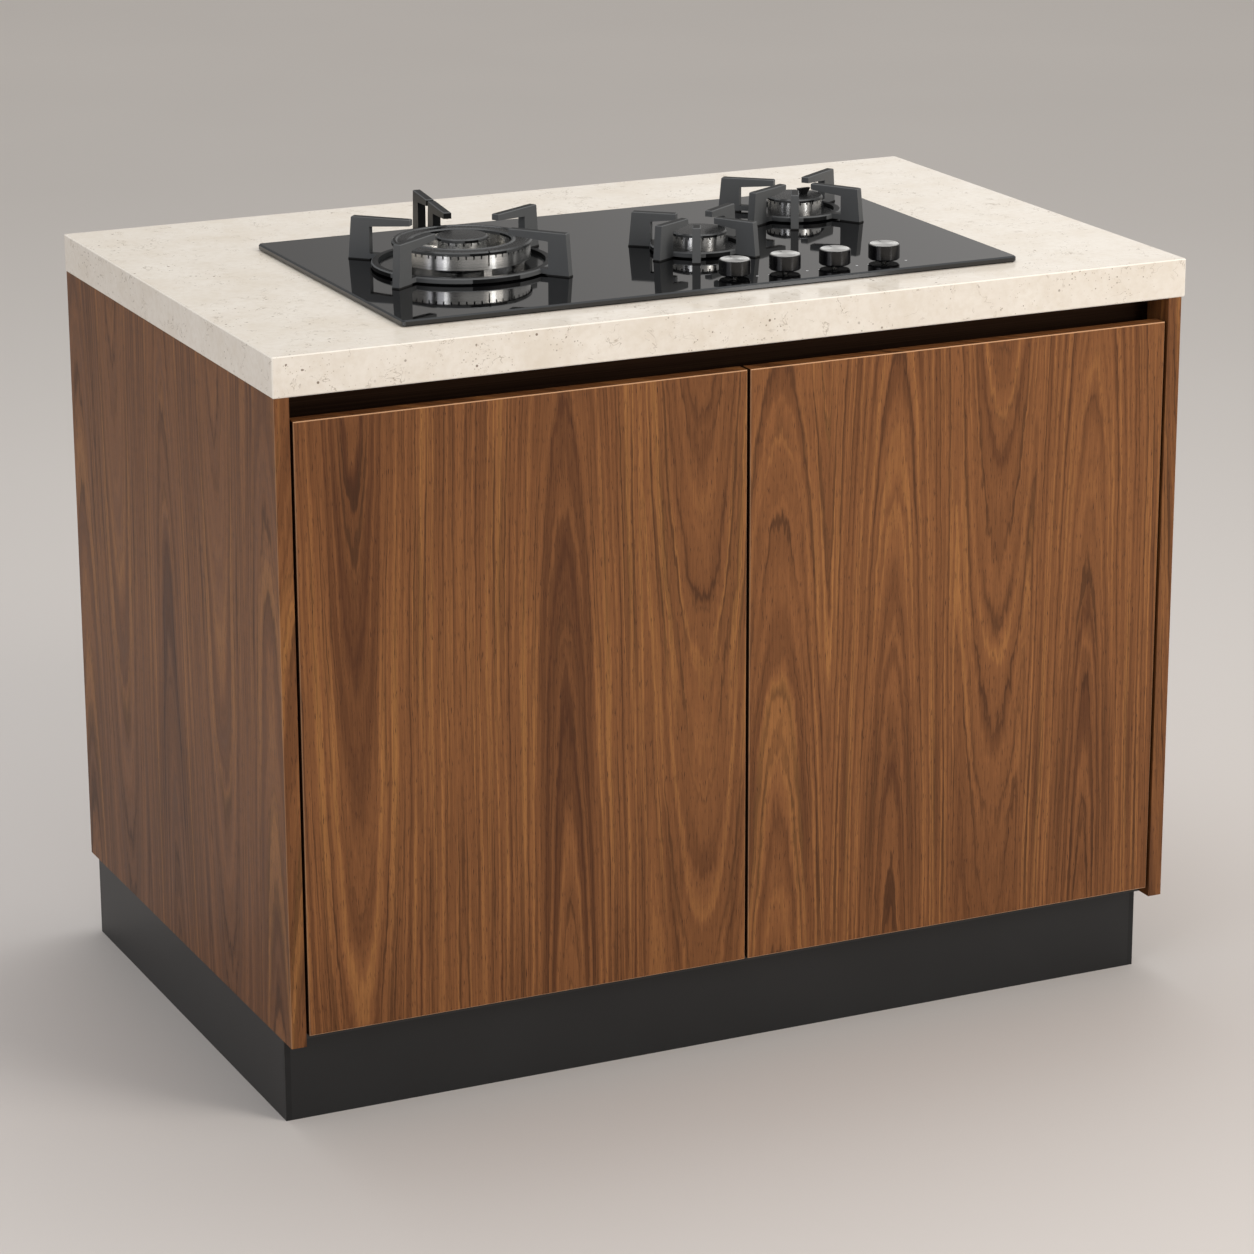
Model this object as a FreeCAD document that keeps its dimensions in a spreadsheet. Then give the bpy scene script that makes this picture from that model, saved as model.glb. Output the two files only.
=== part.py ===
import FreeCAD, Part
import Sketcher
import os
import re

# Kitchen island unit: walnut clad base cabinet, stone worktop and a three-burner gas hob.
# Millimetres. The origin is on the floor under the middle of the worktop outline.
# X runs to the right along the front, Y to the back, Z up. The doors face -Y.

doc = FreeCAD.newDocument("kitchen_island")
sheet = doc.addObject("Spreadsheet::Sheet", "Sizes")

SIZES = {
    # whole unit
    "unit_width": 1150, "unit_depth": 720, "unit_height": 900, "worktop_thickness": 46,
    "overhang_left": 1, "overhang_right": 4, "overhang_front": 1, "overhang_back": 1,
    "worktop_corner": 2, "worktop_arris": 1.2,
    # base
    "base_height": 100, "plinth_board": 16, "plinth_gap": 0.5, "plinth_front_inset": 30,
    "plinth_back_inset": 24, "plinth_left_inset": 2, "plinth_right_inset": 20,
    "trim_size": 7, "trim_wall": 1.5,
    "leg_reach": 42, "leg_side_inset": 70, "socket_plate": 34, "socket_plate_thickness": 5,
    "sleeve_radius": 17, "sleeve_wall": 2.8, "sleeve_length": 52, "foot_radius": 30,
    "foot_thickness": 8, "foot_shaft_gap": 0.1, "foot_shaft_length": 64,
    "clip_width": 26, "clip_height": 18, "clip_level": 62, "clip_gap": 0.2,
    # cabinet boards
    "cladding": 18, "cladding_arris": 0.8, "board": 16, "back_thickness": 8,
    "rail_depth": 100, "shelf_level": 430, "shelf_side_gap": 1, "shelf_front_inset": 25,
    "pin_radius": 2.5, "pin_depth": 9, "pin_gap": 0.05,
    "pin_front_distance": 80, "pin_back_distance": 90,
    "pad_width": 7, "pad_reach": 8, "pad_thickness": 3,
    # handle channel
    "channel_depth": 26, "channel_height": 57, "channel_wall": 1.5, "channel_bend": 8,
    "channel_lip": 5,
    # doors
    "door_thickness": 20, "door_gap": 4, "door_carcass_gap": 2, "door_rise": 12,
    "door_top_gap": 28, "door_arris": 1,
    "cup_radius": 17.5, "cup_depth": 12, "cup_wall": 1, "cup_edge": 22.5, "cup_gap": 0.1,
    "cup_flange_width": 20, "cup_flange_length": 62, "cup_flange_thickness": 1.2,
    "hinge_from_bottom": 100, "hinge_from_top": 130,
    "arm_width": 14, "arm_crest": 18, "arm_length": 62, "arm_shoulder": 11.25,
    "arm_nose_start": 5, "arm_nose_end": 22.5, "arm_nose_gap": 0.4,
    "plate_length": 36, "plate_width": 50, "plate_thickness": 3,
    "plate_setback": 20,
    # hob
    "hob_width": 780, "hob_depth": 460, "glass_thickness": 6, "seal_thickness": 1.5,
    "hob_margin_left": 181, "hob_margin_front": 71, "glass_corner": 5, "glass_bevel": 1.8,
    "glass_lap": 20, "cutout_corner": 10, "seal_width": 10, "seal_inset": 3,
    "tray_gap": 4, "tray_depth": 46, "tray_wall": 1.5,
    "clamp_width": 25, "clamp_wall": 1.5, "clamp_rise": 24, "clamp_foot": 28,
    "clamp_spread": 130,
    "wok_from_left": 150, "wok_y": 4, "middle_x": 68, "middle_y": -32,
    "rear_from_right": 104, "rear_from_back": 108,
    "knob_first_x": 40, "knob_pitch": 65, "knob_from_front": 23,
    # gas parts in the tray
    "valve_radius": 11, "valve_height": 30, "boss_radius": 7, "boss_height": 6,
    "valve_bore_floor": 12, "pipe_radius": 6, "pipe_level": 14, "pipe_gap": 0.2,
    "pipe_start": 18, "inlet_from_right": 40, "inlet_from_back": 60, "inlet_radius": 10.5,
    "inlet_drop": 34, "inlet_nut": 15, "inlet_nut_height": 9, "inlet_hole_gap": 0.5,
    "elbow_radius": 12, "ignition_x": -95, "ignition_from_front": 25,
    "ignition_length": 70, "ignition_width": 45, "ignition_height": 28,
    # wok burner
    "wok_cup": 45, "base_ring_gap": 0.7, "disc_edge": 2.5, "disc_top": 3.5, "wok_hub": 32,
    "wok_hub_height": 8.5, "gas_bore": 12, "hole_gap": 1, "seat_gap": 0.3,
    "spigot_depth": 3.5, "wok_skirt": 36, "ring_floor": 8, "ring_inner": 60,
    "ring_outer": 80, "ring_wall": 3, "ring_height": 25, "ring_floor_thickness": 4,
    "spoke_width": 14, "spoke_height": 6, "head_leg_width": 10, "head_leg_length": 12,
    "centre_radius": 29, "centre_neck": 18, "centre_wall": 4, "centre_height": 29.5,
    "port_width": 1.8, "port_depth": 4, "wok_port_count": 56, "centre_port_count": 20,
    "lip_depth": 2.5, "cap_lip_wall": 4, "cap_overhang": 2, "cap_edge": 3, "cap_crown": 4.5,
    "cap_bevel": 2, "cap_dome": 0.5, "ring_cap_dish": 1, "cross_slit": 1.6,
    "slit_angle": -90, "centre_cap_crown": 5,
    # small burners
    "small_cup": 27, "small_disc_top": 4.5, "small_disc_edge": 3,
    "small_spigot": 25, "small_radius": 33, "small_wall": 4.7, "small_height": 19.5,
    "small_port_count": 24, "small_port_depth": 3.4, "small_bowl": 5,
    "small_overhang": 1.5,
    "lug_place": 12, "lug_width": 17, "lug_foot": 7, "lug_height": 7, "lug_thickness": 5,
    "plug_radius": 3, "plug_height": 9, "plug_tip": 0.9, "plug_tip_height": 3,
    "small_plug_place": 41, "wok_plug_place": 48,
    # pan supports
    "wok_support_height": 51, "wok_support_reach": 142, "wok_support_tip": 64,
    "wok_support_ring": 106, "wok_back_angle": 82, "wok_near_pair_angle": 53,
    "wok_far_pair_angle": 133, "back_finger_reach": 214,
    "small_support_height": 42, "middle_support_reach": 84, "rear_support_reach": 96,
    "small_support_tip": 26, "small_support_ring": 57, "front_finger_tip": 60,
    "front_finger_angle": -117, "right_finger_angle": -59, "back_right_finger_angle": 34,
    "back_left_finger_angle": 139, "left_finger_angle": -151,
    "finger_thickness": 9.5, "finger_taper": 4, "finger_leg": 23, "finger_leg_foot": 27,
    "arm_tip_depth": 7.5, "arm_root_depth": 11, "grid_clearance": 2, "grid_bar": 6,
    "grid_ring_width": 8, "grid_bevel": 1.5, "finger_arris": 0.9,
    # knobs
    "knob_radius": 18.5, "knob_gap": 3, "knob_foot_bevel": 1.5, "knob_height": 17.8,
    "knob_arris": 0.6, "knob_rim": 1.2, "disc_recess": 1.3,
    "disc_fit": 0.15, "disc_thickness": 2, "disc_arris": 0.6,
    "spindle_radius": 3, "spindle_fit": 0.05, "spindle_hold": 11.7, "knob_bore_depth": 12,
    "spindle_clearance": 4, "spindle_glass_gap": 4,
}

# Two places nearer to each other than this are one.
CLOSE = 1e-4

# Places that follow from the sizes above.
RULES = {
    "top_under": "unit_height - worktop_thickness",
    "left_face": "-unit_width / 2 + overhang_left",
    "right_face": "unit_width / 2 - overhang_right",
    "front_face": "-unit_depth / 2 + overhang_front",
    "back_face": "unit_depth / 2 - overhang_back",
    "panel_depth": "unit_depth - overhang_front - overhang_back",
    "carcass_front": "front_face + door_thickness + door_carcass_gap",
    "carcass_back": "back_face - cladding",
    "carcass_depth": "carcass_back - carcass_front",
    "inner_left": "left_face + cladding",
    "inner_right": "right_face - cladding",
    "inner_width": "inner_right - inner_left",
    "middle_line": "(inner_left + inner_right) / 2",
    "room_left": "inner_left + board",
    "room_right": "inner_right - board",
    "room_back": "carcass_back - back_thickness",
    "room_width": "middle_line - board / 2 - room_left",
    "carcass_height": "top_under - base_height",
    "door_bottom": "base_height + door_rise",
    "door_top": "top_under - door_top_gap",
    "door_height": "door_top - door_bottom",
    "door_width": "inner_width / 2 - door_gap * 1.5",
    "plinth_left": "left_face + plinth_left_inset",
    "plinth_right": "right_face - plinth_right_inset",
    "plinth_front": "front_face + plinth_front_inset",
    "plinth_back": "back_face - plinth_back_inset",
    "plinth_height": "base_height - plinth_gap",
    "front_leg_row": "plinth_front + plinth_board + leg_reach",
    "back_leg_row": "plinth_back - plinth_board - leg_reach",
    "sleeve_bore": "sleeve_radius - sleeve_wall",
    "hob_centre_x": "-unit_width / 2 + hob_margin_left + hob_width / 2",
    "hob_centre_y": "-unit_depth / 2 + hob_margin_front + hob_depth / 2",
    "glass_under": "unit_height + seal_thickness",
    "glass_top": "glass_under + glass_thickness",
    "cutout_width": "hob_width - 2 * glass_lap",
    "cutout_depth": "hob_depth - 2 * glass_lap",
    "wok_x": "wok_from_left - cutout_width / 2",
    "rear_x": "cutout_width / 2 - rear_from_right",
    "rear_y": "cutout_depth / 2 - rear_from_back",
    "knob_row_y": "knob_from_front - cutout_depth / 2",
    "inlet_x": "cutout_width / 2 - inlet_from_right",
    "inlet_y": "cutout_depth / 2 - inlet_from_back",
    "ignition_y": "ignition_from_front - cutout_depth / 2",
    "tray_width": "cutout_width - 2 * tray_gap",
    "wok_base_radius": "wok_support_ring - grid_ring_width - base_ring_gap",
    "small_base_radius": "small_support_ring - grid_ring_width - base_ring_gap",
    "tray_length": "cutout_depth - 2 * tray_gap",
    "tray_floor": "glass_under - tray_depth + tray_wall",
    "cup_height": "glass_top - tray_floor",
    "pipe_line_y": "hob_centre_y + knob_row_y + valve_radius + pipe_radius + pipe_gap",
    "inlet_line_x": "hob_centre_x + inlet_x",
    "inlet_line_y": "hob_centre_y + inlet_y",
    "shelf_width": "room_width - 2 * shelf_side_gap",
    "shelf_depth": "room_back - carcass_front - shelf_front_inset",
    "cap_lip_radius": "small_radius - small_wall - seat_gap",
    "centre_lip_radius": "centre_radius - centre_wall - seat_gap",
    "ring_lip_outer": "ring_outer - ring_wall - seat_gap",
    "ring_lip_inner": "ring_inner + ring_wall + seat_gap",
}

subparts = []


def write_sheet():
    """Put every driving dimension in the sheet, one alias for each."""
    for row, (alias, value) in enumerate(SIZES.items(), start=1):
        sheet.set("A%d" % row, alias.replace("_", " "))
        sheet.set("B%d" % row, str(value))
        sheet.setAlias("B%d" % row, alias)
    doc.recompute()


def formula(text):
    """Spell out the rules in a formula and point its sizes at the sheet."""
    def swap(match):
        word = match.group(0)
        if word in RULES:
            return "(" + formula(RULES[word]) + ")"
        return "Sizes." + word if word in SIZES else word
    return re.sub(r"[A-Za-z_][A-Za-z_0-9]*", swap, str(text))


def size(alias):
    """A driving dimension as a number, for the few calls that take no formula."""
    return float(sheet.get(alias))


def bind(thing, **formulas):
    """Bind properties to formulas. A double underscore stands for a dot in the path."""
    for path, text in formulas.items():
        thing.setExpression(path.replace("__", "."), formula(text))
    return thing


def place(thing, x="0", y="0", z="0"):
    return bind(thing, Placement__Base__x=x, Placement__Base__y=y, Placement__Base__z=z)


def block(name, length, width, height, x, y, z):
    box = doc.addObject("Part::Box", name)
    bind(box, Length=length, Width=width, Height=height)
    return place(box, x, y, z)


def rod(name, radius, height, x, y, z, turn=None):
    """A cylinder that stands up, or that turn lays along X or Y."""
    cylinder = doc.addObject("Part::Cylinder", name)
    axes = {"x": (0, 1, 0, 90), "y": (1, 0, 0, -90)}
    if turn:
        ax, ay, az, angle = axes[turn]
        cylinder.Placement.Rotation = FreeCAD.Rotation(FreeCAD.Vector(ax, ay, az), angle)
    bind(cylinder, Radius=radius, Height=height)
    return place(cylinder, x, y, z)


def cut(name, base, *tools):
    result = doc.addObject("Part::Cut", name)
    result.Base = base
    result.Tool = tools[0] if len(tools) == 1 else join(name + "_tools", *tools)
    return result


def join(name, *shapes):
    result = doc.addObject("Part::MultiFuse", name)
    result.Shapes = list(shapes)
    return result


def group(name, *shapes):
    """Several alike solids that share one node."""
    result = doc.addObject("Part::Compound", name)
    result.Links = list(shapes)
    return result


def edges_where(shape, test):
    """Numbers of the edges whose two ends both pass the test."""
    found = []
    for number, edge in enumerate(shape.Edges, start=1):
        ends = [vertex.Point for vertex in edge.Vertexes]
        if len(ends) == 2 and all(test(point) for point in ends):
            found.append(number)
    return found


def running(shape, axis=FreeCAD.Vector(0, 0, 1)):
    """Numbers of the edges whose ends lie along the axis, upright ones unless told."""
    found = []
    for number, edge in enumerate(shape.Edges, start=1):
        ends = [vertex.Point for vertex in edge.Vertexes]
        if len(ends) == 2 and (ends[1] - ends[0]).cross(axis).Length < CLOSE:
            found.append(number)
    return found


def soften(kind, name, base, numbers, radius):
    """A Part::Fillet or Part::Chamfer on the numbered edges."""
    result = doc.addObject(kind, name)
    result.Base = base
    result.Edges = [(number, radius, radius) for number in numbers]
    return result


def keep(label, thing):
    """Make a finished object one of the unit's sub-parts."""
    thing.Label = label
    subparts.append(thing)
    return thing


def origin_feature(body, role):
    return next(item for item in body.Origin.OriginFeatures if item.Role == role)


def new_body(name):
    return doc.addObject("PartDesign::Body", name)


def draw(body, name, plane, points, lift=None, turn=None):
    """A closed outline through (across, up) formulas, every corner set by its own sizes.

    lift moves it off its plane, and turn swings an upright one round the body's Z axis.
    """
    sketch = body.newObject("Sketcher::SketchObject", name)
    sketch.AttachmentSupport = [(origin_feature(body, plane), "")]
    sketch.MapMode = "FlatFace"
    if lift:
        sketch.setExpression("AttachmentOffset.Base.z", formula(lift))
    if turn:
        sketch.AttachmentOffset.Rotation = FreeCAD.Rotation(FreeCAD.Vector(0, 1, 0), 1)
        sketch.setExpression("AttachmentOffset.Rotation.Angle", formula(turn))
    count = len(points)
    # A rough start with no two corners in one place; the rules below then set each corner.
    corners = [FreeCAD.Vector(i, i * i, 0) for i in range(count)]
    for i in range(count):
        sketch.addGeometry(Part.LineSegment(corners[i], corners[(i + 1) % count]), False)
    for i in range(count):
        sketch.addConstraint(Sketcher.Constraint("Coincident", i, 2, (i + 1) % count, 1))
    for i, (across, up) in enumerate(points):
        for kind, text, axis in (("DistanceX", across, -2), ("DistanceY", up, -1)):
            if text == "0":
                sketch.addConstraint(Sketcher.Constraint("PointOnObject", i, 1, axis))
                continue
            rule = Sketcher.Constraint(kind, -1, 1, i, 1, 10.0)
            number = sketch.addConstraint(rule)
            sketch.setExpression("Constraints[%d]" % number, formula(text))
    return sketch


def rectangle(x1, x2, y1, y2):
    return [(x1, y1), (x2, y1), (x2, y2), (x1, y2)]


def turned(body, name, points):
    """A full turn about Z of an outline given as (radius, height)."""
    sketch = draw(body, name + "_outline", "XZ_Plane", points)
    feature = body.newObject("PartDesign::Revolution", name)
    feature.Profile = sketch
    feature.ReferenceAxis = (sketch, ["V_Axis"])
    feature.Angle = 360
    body.Tip = feature
    return feature


def padded(body, name, plane, points, length, lift=None, both_ways=False, turn=None):
    sketch = draw(body, name + "_outline", plane, points, lift, turn)
    feature = body.newObject("PartDesign::Pad", name)
    feature.Profile = sketch
    feature.setExpression("Length", formula(length))
    if both_ways:
        feature.SideType = "Symmetric"
    body.Tip = feature
    return feature


def pocketed(body, name, points, depth, lift):
    """A cut straight down from the height lift."""
    sketch = draw(body, name + "_outline", "XY_Plane", points, lift)
    feature = body.newObject("PartDesign::Pocket", name)
    feature.Profile = sketch
    feature.setExpression("Length", formula(depth))
    body.Tip = feature
    return feature


def around(body, name, feature, count):
    """Copies of a feature round the body's Z axis."""
    pattern = body.newObject("PartDesign::PolarPattern", name)
    pattern.Originals = [feature]
    pattern.Axis = (origin_feature(body, "Z_Axis"), [""])
    pattern.Angle = 360
    pattern.setExpression("Occurrences", formula(count))
    body.Tip = pattern
    return pattern


# --- plinth and legs -----------------------------------------------------------------------


def plinth():
    """Four boards on the floor, the side ones rebated over the ends of the other two."""
    length = "plinth_right - plinth_left - 2 * trim_size"
    depth = "plinth_back - plinth_front - 2 * trim_size"
    start_x = "plinth_left + trim_size"
    start_y = "plinth_front + trim_size"
    front = block("plinth_front", length, "plinth_board", "plinth_height",
                  start_x, "plinth_front", "0")
    back = block("plinth_back", length, "plinth_board", "plinth_height",
                 start_x, "plinth_back - plinth_board", "0")
    keep("plinth_front", front)
    keep("plinth_back", back)
    sides = []
    for side, x in (("left", "plinth_left"), ("right", "plinth_right - plinth_board")):
        blank = block("plinth_side_" + side, "plinth_board", depth, "plinth_height",
                      x, start_y, "0")
        sides.append(cut("plinth_side_rebated_" + side, blank, front, back))
    keep("plinth_sides", group("plinth_side_boards", *sides))


def plinth_trims():
    """Corner trims: a square post with its inner corner cut away for the board ends."""
    posts = []
    corners = (("plinth_left", "plinth_front", "0", "0"),
               ("plinth_right - trim_size", "plinth_front", "-1", "0"),
               ("plinth_left", "plinth_back - trim_size", "0", "-1"),
               ("plinth_right - trim_size", "plinth_back - trim_size", "-1", "-1"))
    for number, (x, y, shift_x, shift_y) in enumerate(corners, start=1):
        post = block("trim_post_%d" % number, "trim_size", "trim_size", "plinth_height",
                     x, y, "0")
        core = block("trim_core_%d" % number, "trim_size", "trim_size", "plinth_height",
                     "%s + trim_wall * (1 + 2 * %s)" % (x, shift_x),
                     "%s + trim_wall * (1 + 2 * %s)" % (y, shift_y), "0")
        posts.append(cut("trim_%d" % number, post, core))
    keep("plinth_corner_trims", group("plinth_corner_posts", *posts))


def legs():
    """Six levelling legs: a socket under the cabinet floor and a foot screwed into it."""
    sockets = []
    feet = []
    clips = []
    rows = (("front", "front_leg_row", "plinth_front + plinth_board", 1),
            ("back", "back_leg_row", "plinth_back - plinth_board", -1))
    columns = ("inner_left + leg_side_inset", "middle_line", "inner_right - leg_side_inset")
    sleeve_foot = "base_height - sleeve_length"
    for row, y, plinth_face, side in rows:
        for column, x in enumerate(columns, start=1):
            tag = "%s_%d" % (row, column)
            plate = rod("socket_plate_" + tag, "socket_plate", "socket_plate_thickness",
                        x, y, "base_height - socket_plate_thickness")
            sleeve = rod("socket_sleeve_" + tag, "sleeve_radius",
                         "sleeve_length - socket_plate_thickness", x, y, sleeve_foot)
            bore = rod("socket_bore_" + tag, "sleeve_bore",
                       "sleeve_length - socket_plate_thickness", x, y, sleeve_foot)
            sockets.append(cut("socket_" + tag, join("socket_body_" + tag, plate, sleeve), bore))
            base = rod("foot_base_" + tag, "foot_radius", "foot_thickness", x, y, "0")
            shaft = rod("foot_shaft_" + tag, "sleeve_bore - foot_shaft_gap",
                        "foot_shaft_length", x, y, "foot_thickness")
            feet.append(join("foot_" + tag, base, shaft))
            near = plinth_face if side > 0 else y
            arm = block("clip_arm_" + tag, "clip_width", "leg_reach", "clip_height",
                        "%s - clip_width / 2" % x, near, "clip_level")
            grip = rod("clip_grip_" + tag, "sleeve_radius + clip_gap", "clip_height",
                       x, y, "clip_level")
            clips.append(cut("clip_" + tag, arm, grip))
    keep("leg_sockets", group("leg_socket_set", *sockets))
    keep("leg_feet", group("leg_foot_set", *feet))
    keep("plinth_clips", group("plinth_clip_set", *clips))


# --- cabinet boards ------------------------------------------------------------------------


def end_panel(label, x, outer_x):
    """A full-height walnut end with a fine arris on its two outer upright corners."""
    board = block(label + "_board", "cladding", "panel_depth", "carcass_height",
                  x, "front_face", "base_height")
    doc.recompute()
    face = outer_x(board.Shape.BoundBox)
    corners = edges_where(board.Shape, lambda point: abs(point.x - face) < CLOSE)
    corners = [number for number in corners if number in running(board.Shape)]
    keep(label, soften("Part::Chamfer", label + "_arris", board, corners,
                       size("cladding_arris")))


def cladding():
    end_panel("end_panel_left", "left_face", lambda bounds: bounds.XMin)
    end_panel("end_panel_right", "inner_right", lambda bounds: bounds.XMax)
    keep("back_panel", block("back_panel", "inner_width", "cladding", "carcass_height",
                             "inner_left", "carcass_back", "base_height"))


def pin_rows():
    """The four places (x of the board face, way into the room, y) of each shelf's pins."""
    rooms = (("left", "room_left", "middle_line - board / 2"),
             ("right", "middle_line + board / 2", "room_right"))
    for room, low, high in rooms:
        for face, way in ((low, 1), (high, -1)):
            for y in ("carcass_front + pin_front_distance", "room_back - pin_back_distance"):
                yield room, face, way, y


def pin_hole_rods(low_face, high_face):
    """Shelf pin holes that open on the given faces of one board."""
    holes = []
    for room, face, way, y in pin_rows():
        if face not in (low_face, high_face):
            continue
        start = "%s - pin_depth" % face if way > 0 else face
        number = len(doc.Objects)
        holes.append(rod("pin_hole_%d" % number, "pin_radius + pin_gap", "pin_depth",
                         start, y, "shelf_level - pad_thickness - pin_radius", "x"))
    return holes


def notch(name, x):
    """The recess in an upright board's top front corner, where the channels pass."""
    return block(name, "board", "channel_depth", "channel_height", x, "carcass_front",
                 "top_under - channel_height")


def carcass():
    for label, x, face in (("carcass_side_left", "inner_left", "room_left"),
                           ("carcass_side_right", "room_right", "room_right")):
        side = block(label + "_board", "board", "carcass_depth", "carcass_height",
                     x, "carcass_front", "base_height")
        keep(label, cut(label + "_cut", side, notch(label + "_notch", x),
                        *pin_hole_rods(face, face)))
    keep("carcass_bottom", block("carcass_bottom", "inner_width - 2 * board", "carcass_depth",
                                 "board", "room_left", "carcass_front", "base_height"))
    post = block("divider_board", "board", "room_back - carcass_front",
                 "carcass_height - board", "middle_line - board / 2", "carcass_front",
                 "base_height + board")
    keep("centre_divider", cut("divider_cut", post,
                               notch("divider_notch", "middle_line - board / 2"),
                               *pin_hole_rods("middle_line - board / 2",
                                              "middle_line + board / 2")))
    keep("back_board", block("back_board", "inner_width - 2 * board", "back_thickness",
                             "carcass_height - board", "room_left", "room_back",
                             "base_height + board"))
    rails = []
    for side, x in (("left", "room_left"), ("right", "middle_line + board / 2")):
        rails.append(block("rear_rail_" + side, "room_width", "rail_depth", "board", x,
                           "room_back - rail_depth", "top_under - board"))
    keep("rear_rails", group("rear_rail_set", *rails))


def shelves():
    """One loose shelf in each room, on four plug-in pins with flat pads."""
    boards = []
    for side, x in (("left", "room_left"), ("right", "middle_line + board / 2")):
        boards.append(block("shelf_" + side, "shelf_width", "shelf_depth", "board",
                            x + " + shelf_side_gap", "carcass_front + shelf_front_inset",
                            "shelf_level"))
    keep("shelves", group("shelf_set", *boards))
    pins = []
    for number, (room, face, way, y) in enumerate(pin_rows(), start=1):
        plug_x = "%s - pin_depth" % face if way > 0 else face
        pad_x = face if way > 0 else "%s - pad_reach" % face
        plug = rod("pin_plug_%d" % number, "pin_radius", "pin_depth", plug_x, y,
                   "shelf_level - pad_thickness - pin_radius", "x")
        pad = block("pin_pad_%d" % number, "pad_reach", "pad_width",
                    "pad_thickness + 2 * pin_radius", pad_x, "%s - pad_width / 2" % y,
                    "shelf_level - pad_thickness - 2 * pin_radius")
        pins.append(join("pin_%d" % number, plug, pad))
    keep("shelf_pins", group("shelf_pin_set", *pins))


def handle_channels():
    """Two lengths of C profile under the worktop, butted on the middle line."""
    wall = "channel_wall"
    depth = "channel_depth"
    high = "channel_height"
    outline = [("0", "0"), (depth, "0"), (depth, high), ("0", high),
               ("0", high + " - " + wall), (depth + " - " + wall, high + " - " + wall),
               (depth + " - " + wall, wall), (wall, wall), (wall, "channel_lip"),
               ("0", "channel_lip")]
    for side, x in (("left", "inner_left"), ("right", "middle_line")):
        label = "handle_channel_" + side
        body = new_body(label + "_body")
        profile = padded(body, label + "_profile", "YZ_Plane", outline, "inner_width / 2")
        doc.recompute()
        back = size("channel_depth")
        for kind, y, radius in (("inner", back - size("channel_wall"),
                                 "channel_bend - channel_wall"),
                                ("outer", back, "channel_bend")):
            bends = edges_where(profile.Shape, lambda point: abs(point.y - y) < CLOSE)
            lengthways = running(profile.Shape, FreeCAD.Vector(1, 0, 0))
            bend = body.newObject("PartDesign::Fillet", label + "_bend_" + kind)
            bend.Base = (profile, ["Edge%d" % n for n in bends if n in lengthways])
            bend.setExpression("Radius", formula(radius))
            body.Tip = bend
            doc.recompute()
            profile = bend
        place(body, x, "carcass_front", "top_under - channel_height")
        keep(label, body)


# --- doors ---------------------------------------------------------------------------------


def hinge_levels():
    return ("door_bottom + hinge_from_bottom", "door_top - hinge_from_top")


def door(side, x, cup_x):
    """A slab door with two blind cup bores and a fine arris round its front."""
    label = "door_" + side
    slab = block(label + "_slab", "door_width", "door_thickness", "door_height",
                 x, "front_face", "door_bottom")
    doc.recompute()
    front = slab.Shape.BoundBox.YMin
    rim = edges_where(slab.Shape, lambda point: abs(point.y - front) < CLOSE)
    eased = soften("Part::Chamfer", label + "_arris", slab, rim, size("door_arris"))
    bores = []
    for number, level in enumerate(hinge_levels(), start=1):
        bores.append(rod("%s_bore_%d" % (label, number), "cup_radius + cup_gap",
                         "cup_depth + cup_gap", cup_x,
                         "front_face + door_thickness - cup_depth - cup_gap", level, "y"))
    keep(label, cut(label + "_cut", eased, *bores))


def hinge_cups(side, cup_x):
    """Cups in the door: a bowl with a screwed flange on the door's back face."""
    back = "front_face + door_thickness"
    cups = []
    for number, level in enumerate(hinge_levels(), start=1):
        tag = "%s_%d" % (side, number)
        bowl = rod("cup_bowl_" + tag, "cup_radius", "cup_depth", cup_x,
                   back + " - cup_depth", level, "y")
        flange = block("cup_flange_" + tag, "cup_flange_width", "cup_flange_thickness",
                       "cup_flange_length", cup_x + " - cup_flange_width / 2", back,
                       level + " - cup_flange_length / 2")
        hollow = rod("cup_hollow_" + tag, "cup_radius - cup_wall",
                     "cup_depth + cup_flange_thickness - cup_wall", cup_x,
                     back + " - cup_depth + cup_wall", level, "y")
        cups.append(cut("cup_" + tag, join("cup_body_" + tag, bowl, flange), hollow))
    keep("hinge_cups_" + side, group("hinge_cup_set_" + side, *cups))


def hinge_arms():
    """Mounting plate and cranked arm of each hinge, on the cabinet's two sides."""
    arms = []
    tip = "arm_nose_gap"
    outline = [("plate_thickness", "arm_length"), ("arm_crest", "arm_length"),
               ("arm_crest", "arm_shoulder"), ("arm_nose_end", "0"),
               ("arm_nose_start", "0"), ("plate_thickness", "plate_setback")]
    for side, wall, way in (("left", "room_left", 1), ("right", "room_right", -1)):
        for number, level in enumerate(hinge_levels(), start=1):
            tag = "%s_%d" % (side, number)
            body = new_body("hinge_arm_body_" + tag)
            lift = "-arm_width / 2"
            padded(body, "hinge_arm_bar_" + tag, "XY_Plane", outline, "arm_width", lift)
            plate = rectangle("0", "plate_thickness",
                              "plate_setback", "plate_setback + plate_length")
            padded(body, "hinge_plate_" + tag, "XY_Plane", plate, "plate_width",
                   "-plate_width / 2")
            reach = "front_face + door_thickness + " + tip
            if way > 0:
                place(body, wall, reach, level)
                arms.append(body)
                continue
            place(body, "0", reach, level)
            mirror = doc.addObject("Part::Mirroring", "hinge_arm_mirror_" + tag)
            mirror.Source = body
            mirror.Normal = FreeCAD.Vector(1, 0, 0)
            place(mirror, wall, "0", "0")
            arms.append(mirror)
    keep("hinge_arms", group("hinge_arm_set", *arms))


def doors():
    left_x = "inner_left + door_gap"
    right_x = "middle_line + door_gap / 2"
    left_cup = "inner_left + door_gap + cup_edge"
    right_cup = "inner_right - door_gap - cup_edge"
    door("left", left_x, left_cup)
    door("right", right_x, right_cup)
    hinge_cups("left", left_cup)
    hinge_cups("right", right_cup)
    hinge_arms()


# --- worktop and hob -----------------------------------------------------------------------


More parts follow.
